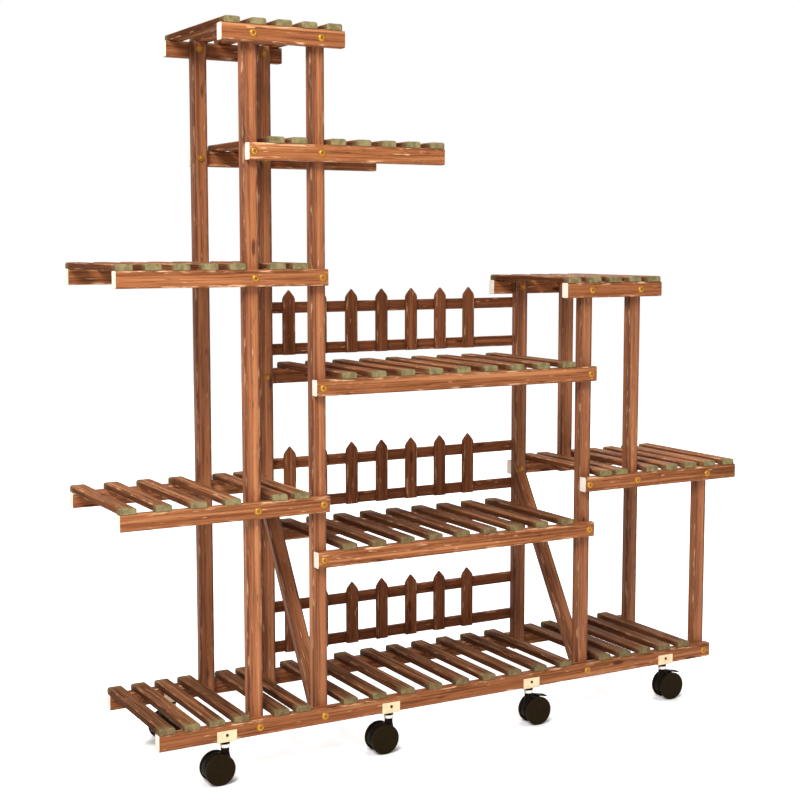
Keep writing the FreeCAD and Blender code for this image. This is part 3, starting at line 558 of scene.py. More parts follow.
def end_cover(tree, grain, tip, tone, end):
    """How much an end's colour covers the wood: all of it to a depth, then less as it fades."""
    ragged = tree.noise(grain, END_RAGGED, END_DETAIL)

    def down_to(reach, softness, most):
        """The most at the tip, and none past a ragged line at about half the reach."""
        past = tree.math("SUBTRACT", tip, tree.math("MULTIPLY", ragged, reach))
        return tree.ramp(past, (-softness, softness), (most, 0))

    cover = down_to(2 * end.depth, END_SOFTNESS * end.depth, 1)
    if end.fade > 0:
        cover = tree.math("MAXIMUM", cover, down_to(end.fade, end.fade / 2, FADE_SHARE))
    # The cover follows the stick's tone, so where the tone holds painted shade more of the darker wood
    # shows and the ends look darker too.
    return tree.math("MULTIPLY", cover, tree.ramp(tone, COVER_TONES, end.cover))


def timber_material(name, stain, deep, look, end=None):
    """Stained timber, whose ends may have a look of their own."""
    colours = bpy.context.scene.stand_colours
    material, tree, shader = new_material(name)
    grain, section, stick = [tree.add("ShaderNodeAttribute", {"attribute_name": layer}).outputs["Vector"]
                             for layer in ("grain", "section", "stick")]
    along, half, tone = tree.add("ShaderNodeSeparateXYZ", Vector=stick).outputs
    wood = finish_shader(tree, shader, "Stained timber", timber_group, {
        "Grain": grain, "Section": section, "Tone": tone, "Fineness": look.fineness, "Highlight band": look.highlight_band,
        "Rim": look.rim, "Side": look.side, "Streaks": look.streaks, "Wear and highlight": look.wear,
        "Stain": opaque(stain), "Deep": opaque(deep), "Streak": opaque(colours.streak),
        "Nick and highlight": opaque(colours.nick_and_highlight), "Knot and shade": opaque(colours.knot_and_shade),
    }, TIMBER_BUMP)
    if end is not None:
        tip = tree.math("SUBTRACT", half, tree.math("ABSOLUTE", along))
        dirt = tree.spots(grain, END_GRIME, GRIME_LIMITS, end.grime, END_DETAIL)
        cover = end_cover(tree, grain, tip, tone, end)
        wood = tree.blend(cover, wood, tree.shade(opaque(end.colour), dirt))
    tree.feed(shader.inputs["Base Color"], wood)
    shader.inputs["Specular IOR Level"].default_value = look.sheen
    return material


METAL_BUMP = (0.3, 0.05 * MM)
PLASTIC_BUMP = (0.3, 0.08 * MM)
PLASTIC_SHINE = 0.03
METAL_SHINE = 0.5

# How far stains and scuffs cover each metal and the white ring, and how metallic it is.
BRIGHT_BRASS_WEAR = (0.6, 0.75)
DULL_BRASS_WEAR = (0.35, 0.6)
BRACKET_WEAR = (0.6, 0.15)
SCREW_WEAR = (0.3, 0.4)
STEM_WEAR = (0.3, 0.9)
RING_WEAR = (0.4, 0)
# How far dust covers each plastic.
NUT_DUST, HOUSING_DUST, WHEEL_DUST, LEVER_DUST = 0.2, 0.12, 0.15, 0.2


def worn_material(name, base, stain, scuff, amount, metallic, bump=METAL_BUMP, shine=METAL_SHINE):
    """Metal or plastic with a worn finish."""
    material, tree, shader = new_material(name)
    finish = finish_shader(tree, shader, "Worn finish", wear_group, {
        "Base": opaque(base), "Stain": opaque(stain), "Scuff": opaque(scuff), "Amount": amount,
    }, bump)
    tree.feed(shader.inputs["Base Color"], finish)
    shader.inputs["Metallic"].default_value = metallic
    shader.inputs["Specular IOR Level"].default_value = shine
    return material


def worn_plastic(name, base, amount):
    dust = bpy.context.scene.stand_colours.dust
    return worn_material(name, base, dust, dust, amount, 0, PLASTIC_BUMP, PLASTIC_SHINE)


# Meshes

def solids(node):
    """Lowest and highest corner of each separate solid of a CAD node, from left to right."""
    bm = bmesh.new()
    bm.from_mesh(NODES[node].data)
    bmesh.ops.remove_doubles(bm, verts=bm.verts, dist=MERGE_DISTANCE)
    waiting = set(bm.verts)
    boxes = []
    for start in bm.verts:
        if start not in waiting:
            continue
        waiting.remove(start)
        members = [start]
        for vert in members:
            for edge in vert.link_edges:
                other = edge.other_vert(vert)
                if other in waiting:
                    waiting.remove(other)
                    members.append(other)
        low = Vector([min(vert.co[axis] for vert in members) for axis in ALL_AXES])
        high = Vector([max(vert.co[axis] for vert in members) for axis in ALL_AXES])
        boxes.append((low, high))
    bm.free()
    return sorted(boxes, key=lambda box: [round(value, PLACE_DIGITS) for value in box[0]])


def middle_of(node):
    low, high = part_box(node)
    return (low + high) / 2


def runs_along(edge, way):
    """Whether an edge runs along an axis or a direction."""
    if isinstance(way, int):
        way = Vector([float(axis == way) for axis in ALL_AXES])
    span = edge.verts[1].co - edge.verts[0].co
    return abs(span.dot(way)) > PARALLEL * span.length


def lies_in(edge, axis, places):
    """Whether an edge lies in one of the planes at the given places on an axis."""
    return any(all(abs(vert.co[axis] - place) < MERGE_DISTANCE for vert in edge.verts) for place in places)


def round_edges(bm, edges, radius, steps):
    bmesh.ops.bevel(bm, geom=list(edges), offset=radius, offset_type="OFFSET", segments=steps,
                    profile=0.5, affect="EDGES", clamp_overlap=True, material=-1)


def block(low, high):
    """A block between two corners."""
    bm = bmesh.new()
    bmesh.ops.create_cube(bm, size=1)
    bmesh.ops.scale(bm, vec=high - low, verts=bm.verts)
    bmesh.ops.translate(bm, vec=(low + high) / 2, verts=bm.verts)
    return bm


def turn(bm, angle, axis):
    bmesh.ops.rotate(bm, verts=bm.verts, cent=(0, 0, 0), matrix=Matrix.Rotation(angle, 3, axis))
    return bm


def move(bm, place):
    bmesh.ops.translate(bm, vec=place, verts=bm.verts)
    return bm


def lathe(profile, steps):
    """A closed shape turned about Z, from points of radius and height."""
    bm = bmesh.new()
    verts = [bm.verts.new((radius, 0, height)) for radius, height in profile]
    edges = [bm.edges.new(pair) for pair in zip(verts, verts[1:])]
    bmesh.ops.spin(bm, geom=verts + edges, cent=(0, 0, 0), axis=(0, 0, 1), dvec=(0, 0, 0),
                   angle=FULL_TURN, steps=steps, use_merge=True, use_normal_flip=False,
                   use_duplicate=False)
    bmesh.ops.remove_doubles(bm, verts=bm.verts, dist=MERGE_DISTANCE)
    bmesh.ops.holes_fill(bm, edges=bm.edges, sides=0)
    bmesh.ops.recalc_face_normals(bm, faces=bm.faces)
    return bm


def cut(bm, point, normal):
    """Cut away what lies beyond a plane, on its normal's side, and close the cut."""
    geom = list(bm.verts) + list(bm.edges) + list(bm.faces)
    made = bmesh.ops.bisect_plane(bm, geom=geom, dist=MERGE_DISTANCE, plane_co=point, plane_no=normal,
                                  clear_outer=True)
    rim = [item for item in made["geom_cut"] if isinstance(item, bmesh.types.BMEdge)]
    bmesh.ops.holes_fill(bm, edges=rim, sides=0)
    bmesh.ops.recalc_face_normals(bm, faces=bm.faces)


def arc(radius, height, centre_across, centre_up, start, end, steps):
    """Points of radius and height along an arc, its angles from straight out towards up."""
    angles = [start + (end - start) * i / steps for i in range(steps + 1)]
    return [(centre_across + radius * math.cos(angle), centre_up + height * math.sin(angle))
            for angle in angles]


def rod_along_y(radius, reach):
    """A plain round rod along Y that reaches as far both ways from the origin."""
    profile = [(0, -reach), (radius, -reach), (radius, reach), (0, reach)]
    return turn(lathe(profile, ROUND_STEPS), QUARTER_TURN, "X")


def mesh_of(bm, name):
    """A mesh with the shape of a bmesh, which is freed."""
    mesh = bpy.data.meshes.new(name)
    bm.to_mesh(mesh)
    bm.free()
    return mesh


def append(bm, part):
    """Add a part's mesh to another, and free the part."""
    mesh = mesh_of(part, "part")
    bm.from_mesh(mesh)
    bpy.data.meshes.remove(mesh)


def new_object(name, data):
    """An object of a mesh, lamp or camera in the scene."""
    item = bpy.data.objects.new(name, data)
    bpy.context.scene.collection.objects.link(item)
    return item


def is_level(face):
    """Whether a face looks straight along an axis."""
    return max(abs(value) for value in face.normal) > FLAT_ALIGNMENT


def shade_timber(bm):
    """Smooth shading on the narrow rounded faces only, so that flats stay flat."""
    largest = max(face.calc_area() for face in bm.faces)
    for face in bm.faces:
        face.smooth = not is_level(face) and face.calc_area() < FLAT_AREA_SHARE * largest


def shade_round(bm):
    """Smooth shading on all but the faces that look along an axis."""
    for face in bm.faces:
        face.smooth = not is_level(face)
    return bm


def finish_piece(bm, name, material, body, nodes):
    """Make an object of a mesh, and tie it to its CAD body, nodes and material slot."""
    mesh = mesh_of(bm, name)
    mesh.materials.append(material)
    piece = new_object(name, mesh)
    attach(piece, body)
    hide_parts(*nodes)
    return piece


# How far along, across and in depth a stick may lie from the middle of its log, in metres.
GRAIN_SHIFT = Vector((5, 0.07, 0.07))


class Timber:
    """A piece of one or more sticks, which keeps the place of each point within its own stick."""

    def __init__(self, name):
        self.bm = bmesh.new()
        self.random = random.Random(sum((i + 1) * ord(letter) for i, letter in enumerate(name)))
        self.grain = []
        self.stick = []
        self.section = []

    def add(self, part, low, high, axes, tone):
        """Add a stick: its axes are the way it runs, its width and its depth."""
        middle = (low + high) / 2
        halves = (high - low) / 2
        places = [[vert.co[axis] - middle[axis] for axis in axes] for vert in part.verts]
        self.keep(part, places, [halves[axis] for axis in axes], tone)

    def keep(self, part, places, halves, tone):
        """Note each point's place in its stick, with the grain at a random place in the log."""
        shift = [self.random.uniform(-1, 1) * reach for reach in GRAIN_SHIFT]
        stick_tone = tone + self.random.uniform(-TONE_SPREAD, TONE_SPREAD)
        for along, across, deep in places:
            self.grain.extend((shift[0] + along, shift[1] + across, shift[2] + deep))
            self.stick.extend((along, halves[0], stick_tone))
            self.section.extend((across / halves[1], deep / halves[2], 0))
        shade_timber(part)
        append(self.bm, part)

    def finish(self, name, material, slot, nodes):
        piece = finish_piece(self.bm, name, material, "stand", nodes)
        for attribute, values in (("grain", self.grain), ("stick", self.stick), ("section", self.section)):
            layer = piece.data.attributes.new(attribute, "FLOAT_VECTOR", "POINT")
            layer.data.foreach_set("vector", values)


STICK_ROUND_STEPS = 3
END_ROUND_STEPS = 2


def straight_stick(low, high, axis, top_round, under_round, steps=STICK_ROUND_STEPS):
    """A stick with its long edges and its sawn ends rounded."""
    bm = block(low, high)
    upper = [edge for edge in bm.edges if runs_along(edge, axis) and lies_in(edge, Z, [high.z])]
    lower = [edge for edge in bm.edges if runs_along(edge, axis) and edge not in upper]
    round_edges(bm, upper, top_round, steps)
    lower = [edge for edge in lower if edge.is_valid]
    round_edges(bm, lower, under_round, steps)
    ends = [edge for edge in bm.edges if lies_in(edge, axis, (low[axis], high[axis]))]
    round_edges(bm, ends, bpy.context.scene.timber_sizes.end_round, END_ROUND_STEPS)
    return bm


def make_stick(node, axis, tone, material, slot):
    """A rail or post as one rounded stick in its node's place."""
    rounding = bpy.context.scene.timber_sizes.stick_round
    low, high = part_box(node)
    timber = Timber(node)
    timber.add(straight_stick(low, high, axis, rounding, rounding), low, high, RUNS[axis], tone)
    timber.finish(node + "_timber", material, slot, [node])


class STAND_OT_posts(bpy.types.Operator):
    """Make the ten posts of the five columns"""
    bl_idname = "plant_stand.posts"
    bl_label = "Posts"

    def execute(self, context):
        colours = context.scene.stand_colours
        material = timber_material("Post timber", colours.post_stain, colours.post_deep, POST_LOOK)
        for column in COLUMNS:
            for side in SIDES:
                make_stick(f"{column}_{side}_post", Z, STICK_TONES[side], material, "post_timber")
        return {"FINISHED"}


# The darkest and the lightest patch of an end's colour, and its cover on dark and on light sticks.
CUT_GRIME, CUT_COVER = (0.9, 1.02), (0.94, 0.94)
MOSS_GRIME, MOSS_COVER = (0.66, 1.14), (0.6, 0.92)


class STAND_OT_rails(bpy.types.Operator):
    """Make the front and back rail of every shelf, with pale cut ends"""
    bl_idname = "plant_stand.rails"
    bl_label = "Rails"

    def execute(self, context):
        colours = context.scene.stand_colours
        ends = EndLook(colours.cut_end, CUT_GRIME, CUT_COVER, context.scene.timber_sizes.cut_depth)
        material = timber_material("Rail timber", colours.rail_stain, colours.rail_deep, RAIL_LOOK, ends)
        for shelf in SHELVES:
            for side in SIDES:
                tone = STICK_TONES[side] + RAIL_PAINTED_SHADES.get(shelf, 0)
                make_stick(f"{shelf}_{side}_rail", X, tone, material, "rail_timber")
        return {"FINISHED"}


class STAND_OT_slats(bpy.types.Operator):
    """Make the slats of every shelf, with green ends"""
    bl_idname = "plant_stand.slats"
    bl_label = "Slats"

    def execute(self, context):
        sizes = context.scene.timber_sizes
        colours = context.scene.stand_colours
        ends = EndLook(colours.moss, MOSS_GRIME, MOSS_COVER, sizes.moss_depth, sizes.moss_fade)
        material = timber_material("Slat timber", colours.slat_stain, colours.slat_deep, SLAT_LOOK, ends)
        for shelf in SHELVES:
            node = shelf + "_slats"
            timber = Timber(node)
            for low, high in solids(node):
                part = straight_stick(low, high, Y, sizes.slat_round, sizes.slat_under_round)
                timber.add(part, low, high, RUNS[Y], SLAT_LIGHT_AND_SHADE_TONES[shelf])
            timber.finish(node + "_timber", material, "slat_timber", [node])
        return {"FINISHED"}


SHOULDER_STEPS = 4
FENCE_ROUND_STEPS = 2


def picket_part(low, high, sizes):
    """A picket with a pointed top, rounded shoulders and softened edges."""
    bm = block(low, high)
    half = (high.x - low.x) / 2
    peak = Vector(((low.x + high.x) / 2, 0, high.z))
    for way in (-1, 1):
        cut(bm, peak, Vector((way * sizes.picket_point, 0, half)))
    shoulders = [edge for edge in bm.edges if runs_along(edge, Y)
                 and low.z + half < edge.verts[0].co.z < high.z - sizes.picket_point / 2]
    round_edges(bm, shoulders, sizes.picket_shoulder, SHOULDER_STEPS)
    rims = [edge for edge in bm.edges if lies_in(edge, Y, (low.y, high.y))]
    round_edges(bm, rims, sizes.fence_round, FENCE_ROUND_STEPS)
    return bm


class STAND_OT_fences(bpy.types.Operator):
    """Make the three picket fences"""
    bl_idname = "plant_stand.fences"
    bl_label = "Fences"

    def execute(self, context):
        sizes = context.scene.timber_sizes
        colours = context.scene.stand_colours
        rounding = sizes.fence_round
        material = timber_material("Fence timber", colours.fence_stain, colours.fence_deep, FENCE_LOOK)
        for shelf in FENCES:
            node = shelf + "_fence"
            timber = Timber(node)
            for low, high in solids(node):
                upright = high.z - low.z > high.x - low.x
                if upright:
                    part = picket_part(low, high, sizes)
                else:
                    part = straight_stick(low, high, X, rounding, rounding, FENCE_ROUND_STEPS)
                timber.add(part, low, high, RUNS[Z if upright else X], FENCE_TONE)
            timber.finish(node + "_timber", material, "fence_timber", [node])
        return {"FINISHED"}


def brace_slope(low, high, foot, thickness):
    """The way a slanted brace runs, from its foot to where its upper face meets the box's top."""
    run = high.y - low.y
    reach = high.z - foot
    lean = thickness / 2 / run
    spare = 1 - lean ** 2
    rise = (reach - lean * math.sqrt(reach ** 2 + spare * run ** 2)) / spare
    return Vector((0, run, rise)).normalized()


class STAND_OT_braces(bpy.types.Operator):
    """Make the two slanted braces"""
    bl_idname = "plant_stand.braces"
    bl_label = "Braces"

    def execute(self, context):
        sizes = context.scene.timber_sizes
        colours = context.scene.stand_colours
        material = timber_material("Brace timber", colours.post_stain, colours.post_deep, POST_LOOK)
        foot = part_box("base_front_rail")[1].z - sizes.brace_foot
        timber = Timber("diagonal_braces")
        for low, high in solids("diagonal_braces"):
            along = brace_slope(low, high, foot, sizes.brace_thickness)
            normal = Vector((0, -along.z, along.y))
            start = Vector(((low.x + high.x) / 2, low.y, foot))
            part = block(low, high)
            for way in (-1, 1):
                cut(part, start + way * normal * sizes.brace_thickness / 2, way * normal)
            slanted = [edge for edge in part.edges if runs_along(edge, along)]
            round_edges(part, slanted, sizes.stick_round, STICK_ROUND_STEPS)
            halves = ((high - low).length / 2, (high.x - low.x) / 2, sizes.brace_thickness / 2)
            places = [((vert.co - start).dot(along) - halves[0], vert.co.x - start.x,
                       (vert.co - start).dot(normal)) for vert in part.verts]
            timber.keep(part, places, halves, BRACE_TONE)
        timber.finish("diagonal_braces_timber", material, "post_timber", ["diagonal_braces"])
        return {"FINISHED"}


# Shapes of the bolts, nuts and washers that follow from their sizes.
HEXAGON = 6
HEAD_STEPS = 6
HEAD_RIM_ANGLE = 0.12
HEAD_FOOT_SHARE = 0.99
SOCKET_RIM_SHARE = 1.25
SOCKET_CHAMFER = 0.1 * MM
SOCKET_REACH_SHARES = (0.3, 0.7)
THREAD_DEPTH_SHARE = 0.12
THREAD_TIP_SHARE = 0.7
THREAD_TURNS = 2
WASHER_EDGE_SHARES = (0.5, 0.6)
NUT_BEVEL_STEPS = 2


def bolt_head(radius, height, socket, depth):
    """A domed head with a round socket, seated at the origin and rising along Z."""
    last = math.acos(SOCKET_RIM_SHARE * socket / radius)
    dome = arc(radius, height, 0, 0, HEAD_RIM_ANGLE, last, HEAD_STEPS)
    top = dome[-1][1]
    floor = top - depth
    profile = [(0, floor), (socket, floor), (socket, top - SOCKET_CHAMFER), *reversed(dome),
               (radius * HEAD_FOOT_SHARE, 0), (0, 0)]
    return lathe(profile, ROUND_STEPS)


def make_hexagonal(bm, width):
    """Draw the walls of a round socket in to a hexagon of a width across its flats."""
    for vert in bm.verts:
        reach = vert.co.xy.length
        if SOCKET_REACH_SHARES[0] * width < reach < SOCKET_REACH_SHARES[1] * width and vert.co.z >= 0:
            angle = math.atan2(vert.co.y, vert.co.x) % (FULL_TURN / HEXAGON) - HALF_TURN / HEXAGON
            vert.co.xy *= width / 2 / math.cos(angle) / reach
    return bm


def hex_nut(width, low, high, chamfer):
    """A hexagonal nut about Z, with the corners of its two ends chamfered."""
    bm = bmesh.new()
    corner = width / 2 / math.cos(HALF_TURN / HEXAGON)
    bmesh.ops.create_cone(bm, cap_ends=True, cap_tris=False, segments=HEXAGON, radius1=corner,
                          radius2=corner, depth=high - low)
    bmesh.ops.translate(bm, vec=(0, 0, (low + high) / 2), verts=bm.verts)
    rims = [edge for edge in bm.edges if lies_in(edge, Z, (low, high))]
    round_edges(bm, rims, chamfer, NUT_BEVEL_STEPS)
    return bm


def thread(radius, reach, cone):
    """A short threaded end that rises along Z to a coned tip."""
    pitch = reach / THREAD_TURNS
    root = radius * (1 - THREAD_DEPTH_SHARE)
    profile = [(0, 0)]
    for i in range(THREAD_TURNS):
        profile += [(root, i * pitch), (radius, i * pitch + pitch / 2)]
    profile += [(root, reach), (radius * THREAD_TIP_SHARE, reach + cone), (0, reach + cone)]
    return lathe(profile, ROUND_STEPS)


def flat_washer(outer, sizes):
    """A washer about Z, its upper rim chamfered."""
    bore, top = sizes.washer_bore, sizes.washer_height
    across, up = WASHER_EDGE_SHARES
    return lathe([(bore, 0), (outer, 0), (outer, top * up), (outer - top * across, top), (bore, top)],
                 ROUND_STEPS)


def outward(low, high):
    """The way out of the stand along Y, and the outer and the inner end of a fixing's box that way."""
    return (-1, low.y, high.y) if low.y < 0 else (1, high.y, low.y)


def face_along_y(bm, way):
    """Turn what rises along Z to rise along Y, or against it where the way is minus one."""
    return turn(bm, -way * QUARTER_TURN, "X")


class STAND_OT_bolts(bpy.types.Operator):
    """Make the brass bolts, washers and nuts of the frame"""
    bl_idname = "plant_stand.bolts"
    bl_label = "Bolts and nuts"

    def execute(self, context):
        sizes = context.scene.fixing_sizes
        colours = context.scene.stand_colours
        bright = worn_material("Bright brass", colours.brass, colours.tarnish, colours.tarnish,
                               *BRIGHT_BRASS_WEAR)
        dull = worn_material("Dull brass", colours.tarnish, colours.brass, colours.knot_and_shade, *DULL_BRASS_WEAR)
        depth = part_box("base_back_rail")[1].y
        heads = bmesh.new()
        washers = bmesh.new()
        nuts = bmesh.new()
        for low, high in solids("rail_bolts"):
            way, outer, inner = outward(low, high)
            middle = (low + high) / 2
            radius = (high.x - low.x) / 2 + sizes.head_excess
            seat = Vector((middle.x, way * depth, middle.z))
            socket = sizes.socket_width
            head = bolt_head(radius, abs(outer - seat.y), socket / 2, sizes.socket_depth)
            head = make_hexagonal(head, socket)
            append(heads, move(face_along_y(shade_round(head), way), seat))
            washer = shade_round(flat_washer(radius + sizes.washer_width, sizes))
            append(washers, move(face_along_y(washer, way), seat))
            tail = shade_round(thread(sizes.tail_radius, sizes.tail_length, sizes.tail_cone))
            tail_foot = inner + way * (sizes.tail_length - sizes.tail_cone)
            append(heads, move(face_along_y(tail, -way), Vector((middle.x, tail_foot, middle.z))))
        for low, high in solids("rail_nuts"):
            way, outer, _ = outward(low, high)
            width = high.z - low.z + sizes.nut_excess
            seat = (low + high) / 2
            seat.y = outer
            nut = hex_nut(width, sizes.washer_height, high.y - low.y, sizes.nut_chamfer)
            append(nuts, move(face_along_y(nut, -way), seat))
            washer = shade_round(flat_washer(width / 2 + sizes.washer_width, sizes))
            append(washers, move(face_along_y(washer, -way), seat))
        finish_piece(heads, "rail_bolts_brass", bright, "stand", ["rail_bolts"])
        finish_piece(washers, "bolt_washers_brass", dull, "stand", ["rail_bolts"])
        finish_piece(nuts, "rail_nuts_brass", dull, "stand", ["rail_nuts"])
        return {"FINISHED"}


BEND_STEPS = 4
EDGE_STEPS = 2
SHARP_ANGLE = 1.2
# A face looks along an axis where its normal has more than this on it.
FACING = 0.5


def saddle(low, high, sizes):
    """A strip of sheet metal bent to a U that is open at the top."""
    bm = block(low, high)
    unwanted = [face for face in bm.faces if max(face.normal.z, abs(face.normal.x)) > FACING]
    bmesh.ops.delete(bm, geom=unwanted, context="FACES_ONLY")
    bends = [edge for edge in bm.edges if len(edge.link_faces) == 2]
    round_edges(bm, bends, sizes.bracket_bend, BEND_STEPS)
    bmesh.ops.solidify(bm, geom=bm.faces, thickness=sizes.bracket_wall)
    bmesh.ops.recalc_face_normals(bm, faces=bm.faces)
    sharp = [edge for edge in bm.edges
             if len(edge.link_faces) == 2 and edge.calc_face_angle() > SHARP_ANGLE]
    round_edges(bm, sharp, sizes.bracket_edge, EDGE_STEPS)
    return shade_round(bm)


class STAND_OT_brackets(bpy.types.Operator):
    """Make the saddle brackets over the base rails and their screws"""
    bl_idname = "plant_stand.brackets"
    bl_label = "Caster brackets"

    def execute(self, context):
        sizes = context.scene.fixing_sizes
        colours = context.scene.stand_colours
        zinc = worn_material("Pale zinc", colours.zinc, colours.zinc_stain, colours.zinc_stain,
                             *BRACKET_WEAR)
        black = worn_material("Blackened steel", colours.screw, colours.housing, colours.dust,
                              *SCREW_WEAR)
        saddles = bmesh.new()
        screws = bmesh.new()
        for low, high in solids("caster_brackets"):
            append(saddles, saddle(low, high, sizes))
        for low, high in solids("bracket_screws"):
            way, outer, inner = outward(low, high)
            middle = (low + high) / 2
            seat = Vector((middle.x, outer - way * sizes.screw_seat, middle.z))
            head = shade_round(bolt_head(sizes.screw_radius, sizes.screw_height, sizes.screw_socket,
                                         sizes.screw_height / 2))
            append(screws, move(face_along_y(head, way), seat))
            reach, radius = sizes.screw_reach, sizes.screw_tail
            tail = shade_round(lathe([(0, 0), (radius, 0), (radius, reach / 2),
                                      (radius - reach / 2, reach), (0, reach)], ROUND_STEPS))
            append(screws, move(face_along_y(tail, -way), Vector((middle.x, inner, middle.z))))
        finish_piece(saddles, "caster_brackets_zinc", zinc, "stand", ["caster_brackets"])
        finish_piece(screws, "bracket_screws_black", black, "stand", ["bracket_screws"])
        return {"FINISHED"}


class STAND_OT_stems(bpy.types.Operator):
    """Make the stems of the casters, with their nuts and white rings"""
    bl_idname = "plant_stand.stems"
    bl_label = "Caster stems"

    def execute(self, context):
        sizes = context.scene.fixing_sizes
        colours = context.scene.stand_colours
        zinc = worn_material("Stem zinc", colours.stem, colours.dust, colours.dust, *STEM_WEAR)
        white = worn_material("White ring", colours.ring, colours.zinc, colours.zinc_stain, *RING_WEAR)
        black = worn_plastic("Black nut", colours.housing, NUT_DUST)
        nut_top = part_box("caster_brackets")[0].z
        ring_top = nut_top - sizes.stem_nut_height
        ring_foot = ring_top - sizes.ring_height
        caster = context.scene.caster_sizes
        neck_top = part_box("front_left_caster_housing")[1].z + caster.neck_rise
        pin_foot = neck_top - caster.bore_depth + caster.bore_gap
        stem, chamfer = sizes.stem_radius, sizes.stem_chamfer
        outer, soft = sizes.ring_radius, sizes.ring_round
        pins = bmesh.new()
        rings = bmesh.new()
        nuts = bmesh.new()
        for low, high in solids("caster_stems"):
            middle = Vector(((low.x + high.x) / 2, (low.y + high.y) / 2, 0))
            pin = lathe([(0, pin_foot), (stem - chamfer, pin_foot), (stem, pin_foot + chamfer),
                         (stem, high.z), (0, high.z)], ROUND_STEPS)
            ring = lathe([(stem, ring_foot), (outer - soft, ring_foot), (outer, ring_foot + soft),
                          (outer, ring_top - soft), (outer - soft, ring_top), (stem, ring_top)],
                         ROUND_STEPS)
            nut = hex_nut(sizes.stem_nut_width, ring_top, nut_top, sizes.stem_nut_chamfer)
            for target, part in ((pins, pin), (rings, ring), (nuts, nut)):
                append(target, move(shade_round(part), middle))
        for bm, name, material in ((pins, "pins", zinc), (rings, "rings", white), (nuts, "nuts", black)):
            finish_piece(bm, "caster_stem_" + name, material, "stand", ["caster_stems"])
        return {"FINISHED"}


# How much of the flare is left at its foot and at its middle.
FLARE_SHARES = (0.8, 0.3)


def hood_part(radius, half, foot, sizes):
    """The hood and web about the axle at the origin, cut level over the floor."""
    web = sizes.web_width / 2
    inner = radius - sizes.hood_wall
    soft = sizes.soft_edge
    side = [(0, web), (inner, web), (inner, half - soft), (inner + soft, half), (radius - soft, half),
            (radius, half - soft)]
    mirrored = [(across, -up) for across, up in reversed(side)]
    bm = turn(lathe(side + mirrored, WHEEL_STEPS), QUARTER_TURN, "X")
    cut(bm, Vector((0, 0, foot)), Vector((0, 0, -1)))
    return shade_round(bm)


def neck_part(root, top, sizes, stem_radius):
    """The bored neck about Z, wider where it leaves the hood."""
    radius, flare, soft = sizes.neck_radius, sizes.neck_flare, sizes.soft_edge
    bore = stem_radius + sizes.bore_gap
    bore_foot = top - sizes.bore_depth
    foot_share, middle_share = FLARE_SHARES
    return shade_round(lathe([
        (0, root), (radius + flare, root), (radius + flare * foot_share, top - sizes.flare_foot),
        (radius + flare * middle_share, top - sizes.flare_middle), (radius, top - sizes.flare_top),
        (radius, top - soft), (radius - soft, top), (bore, top), (bore, bore_foot), (0, bore_foot),
    ], ROUND_STEPS))


class STAND_OT_housings(bpy.types.Operator):
    """Make the hoods, webs and necks of the casters"""
    bl_idname = "plant_stand.housings"
    bl_label = "Caster housings"

    def execute(self, context):
        sizes = context.scene.caster_sizes
        plastic = worn_plastic("Housing plastic", context.scene.stand_colours.housing, HOUSING_DUST)
        stem_radius = context.scene.fixing_sizes.stem_radius
        stems = [(low + high) / 2 for low, high in solids("caster_stems")]
        for name in CASTERS:
            node = name + "_caster_housing"
            low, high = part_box(node)
            axle = middle_of(name + "_caster_wheels")
            stem = min(stems, key=lambda place: (place.xy - axle.xy).length)
            radius = max(high.x - axle.x, axle.x - low.x)
            housing = move(hood_part(radius, (high.y - low.y) / 2, low.z - axle.z, sizes), axle)
            neck = neck_part(axle.z + sizes.neck_root, high.z + sizes.neck_rise, sizes, stem_radius)
            append(housing, move(neck, Vector((stem.x, stem.y, 0))))
            finish_piece(housing, name + "_housing_plastic", plastic, name + "_swivel",
                         [node])
        return {"FINISHED"}


TREAD_STEPS = 4


def wheel_part(radius, inner, tread, outer, sizes):
    """One wheel about Z, from its face by the web up to its dished outer face."""
    gap, edge, turned = sizes.side_gap, sizes.tread_edge, sizes.tread_round
    shoulder = radius - sizes.shoulder_drop
    rim = radius - sizes.wheel_rim
    face = outer - sizes.wheel_dish
    profile = [(0, inner), (shoulder - gap, inner), (shoulder, inner + gap), (shoulder, tread),
               (radius - edge, tread), (radius, tread + edge)]
    profile += arc(turned, turned, radius - turned, outer - turned, 0, QUARTER_TURN, TREAD_STEPS)
    profile += [(rim, outer), (rim - sizes.rim_slope, face), (0, face)]
    return shade_round(turn(lathe(profile, WHEEL_STEPS), QUARTER_TURN, "X"))


class STAND_OT_wheels(bpy.types.Operator):
    """Make the twin wheels of the casters"""
    bl_idname = "plant_stand.wheels"
    bl_label = "Caster wheels"

    def execute(self, context):
        sizes = context.scene.caster_sizes
        plastic = worn_plastic("Wheel plastic", context.scene.stand_colours.wheel, WHEEL_DUST)
        for name in CASTERS:
            node = name + "_caster_wheels"
            low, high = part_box(node)
            hood_low, hood_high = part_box(name + "_caster_housing")
            inner = sizes.web_width / 2 + sizes.side_gap
            tread = (hood_high.y - hood_low.y) / 2 + sizes.side_gap
            wheels = wheel_part((high.z - low.z) / 2, inner, tread, (high.y - low.y) / 2, sizes)
            append(wheels, turn(wheels.copy(), HALF_TURN, "Z"))
            append(wheels, shade_round(rod_along_y(sizes.axle_radius, inner)))
            wheels = move(wheels, (low + high) / 2)
            finish_piece(wheels, name + "_wheels_plastic", plastic, name + "_wheel",
                         [node])
        return {"FINISHED"}


RIDGE_COUNT = 3
RIDGE_SINK = 0.4 * MM
STALK_LAP = 0.6 * MM
CORNER_STEPS = 4


def soft_block(low, high, radius):
    bm = block(Vector(low), Vector(high))
    round_edges(bm, bm.edges, radius, EDGE_STEPS)
    return bm


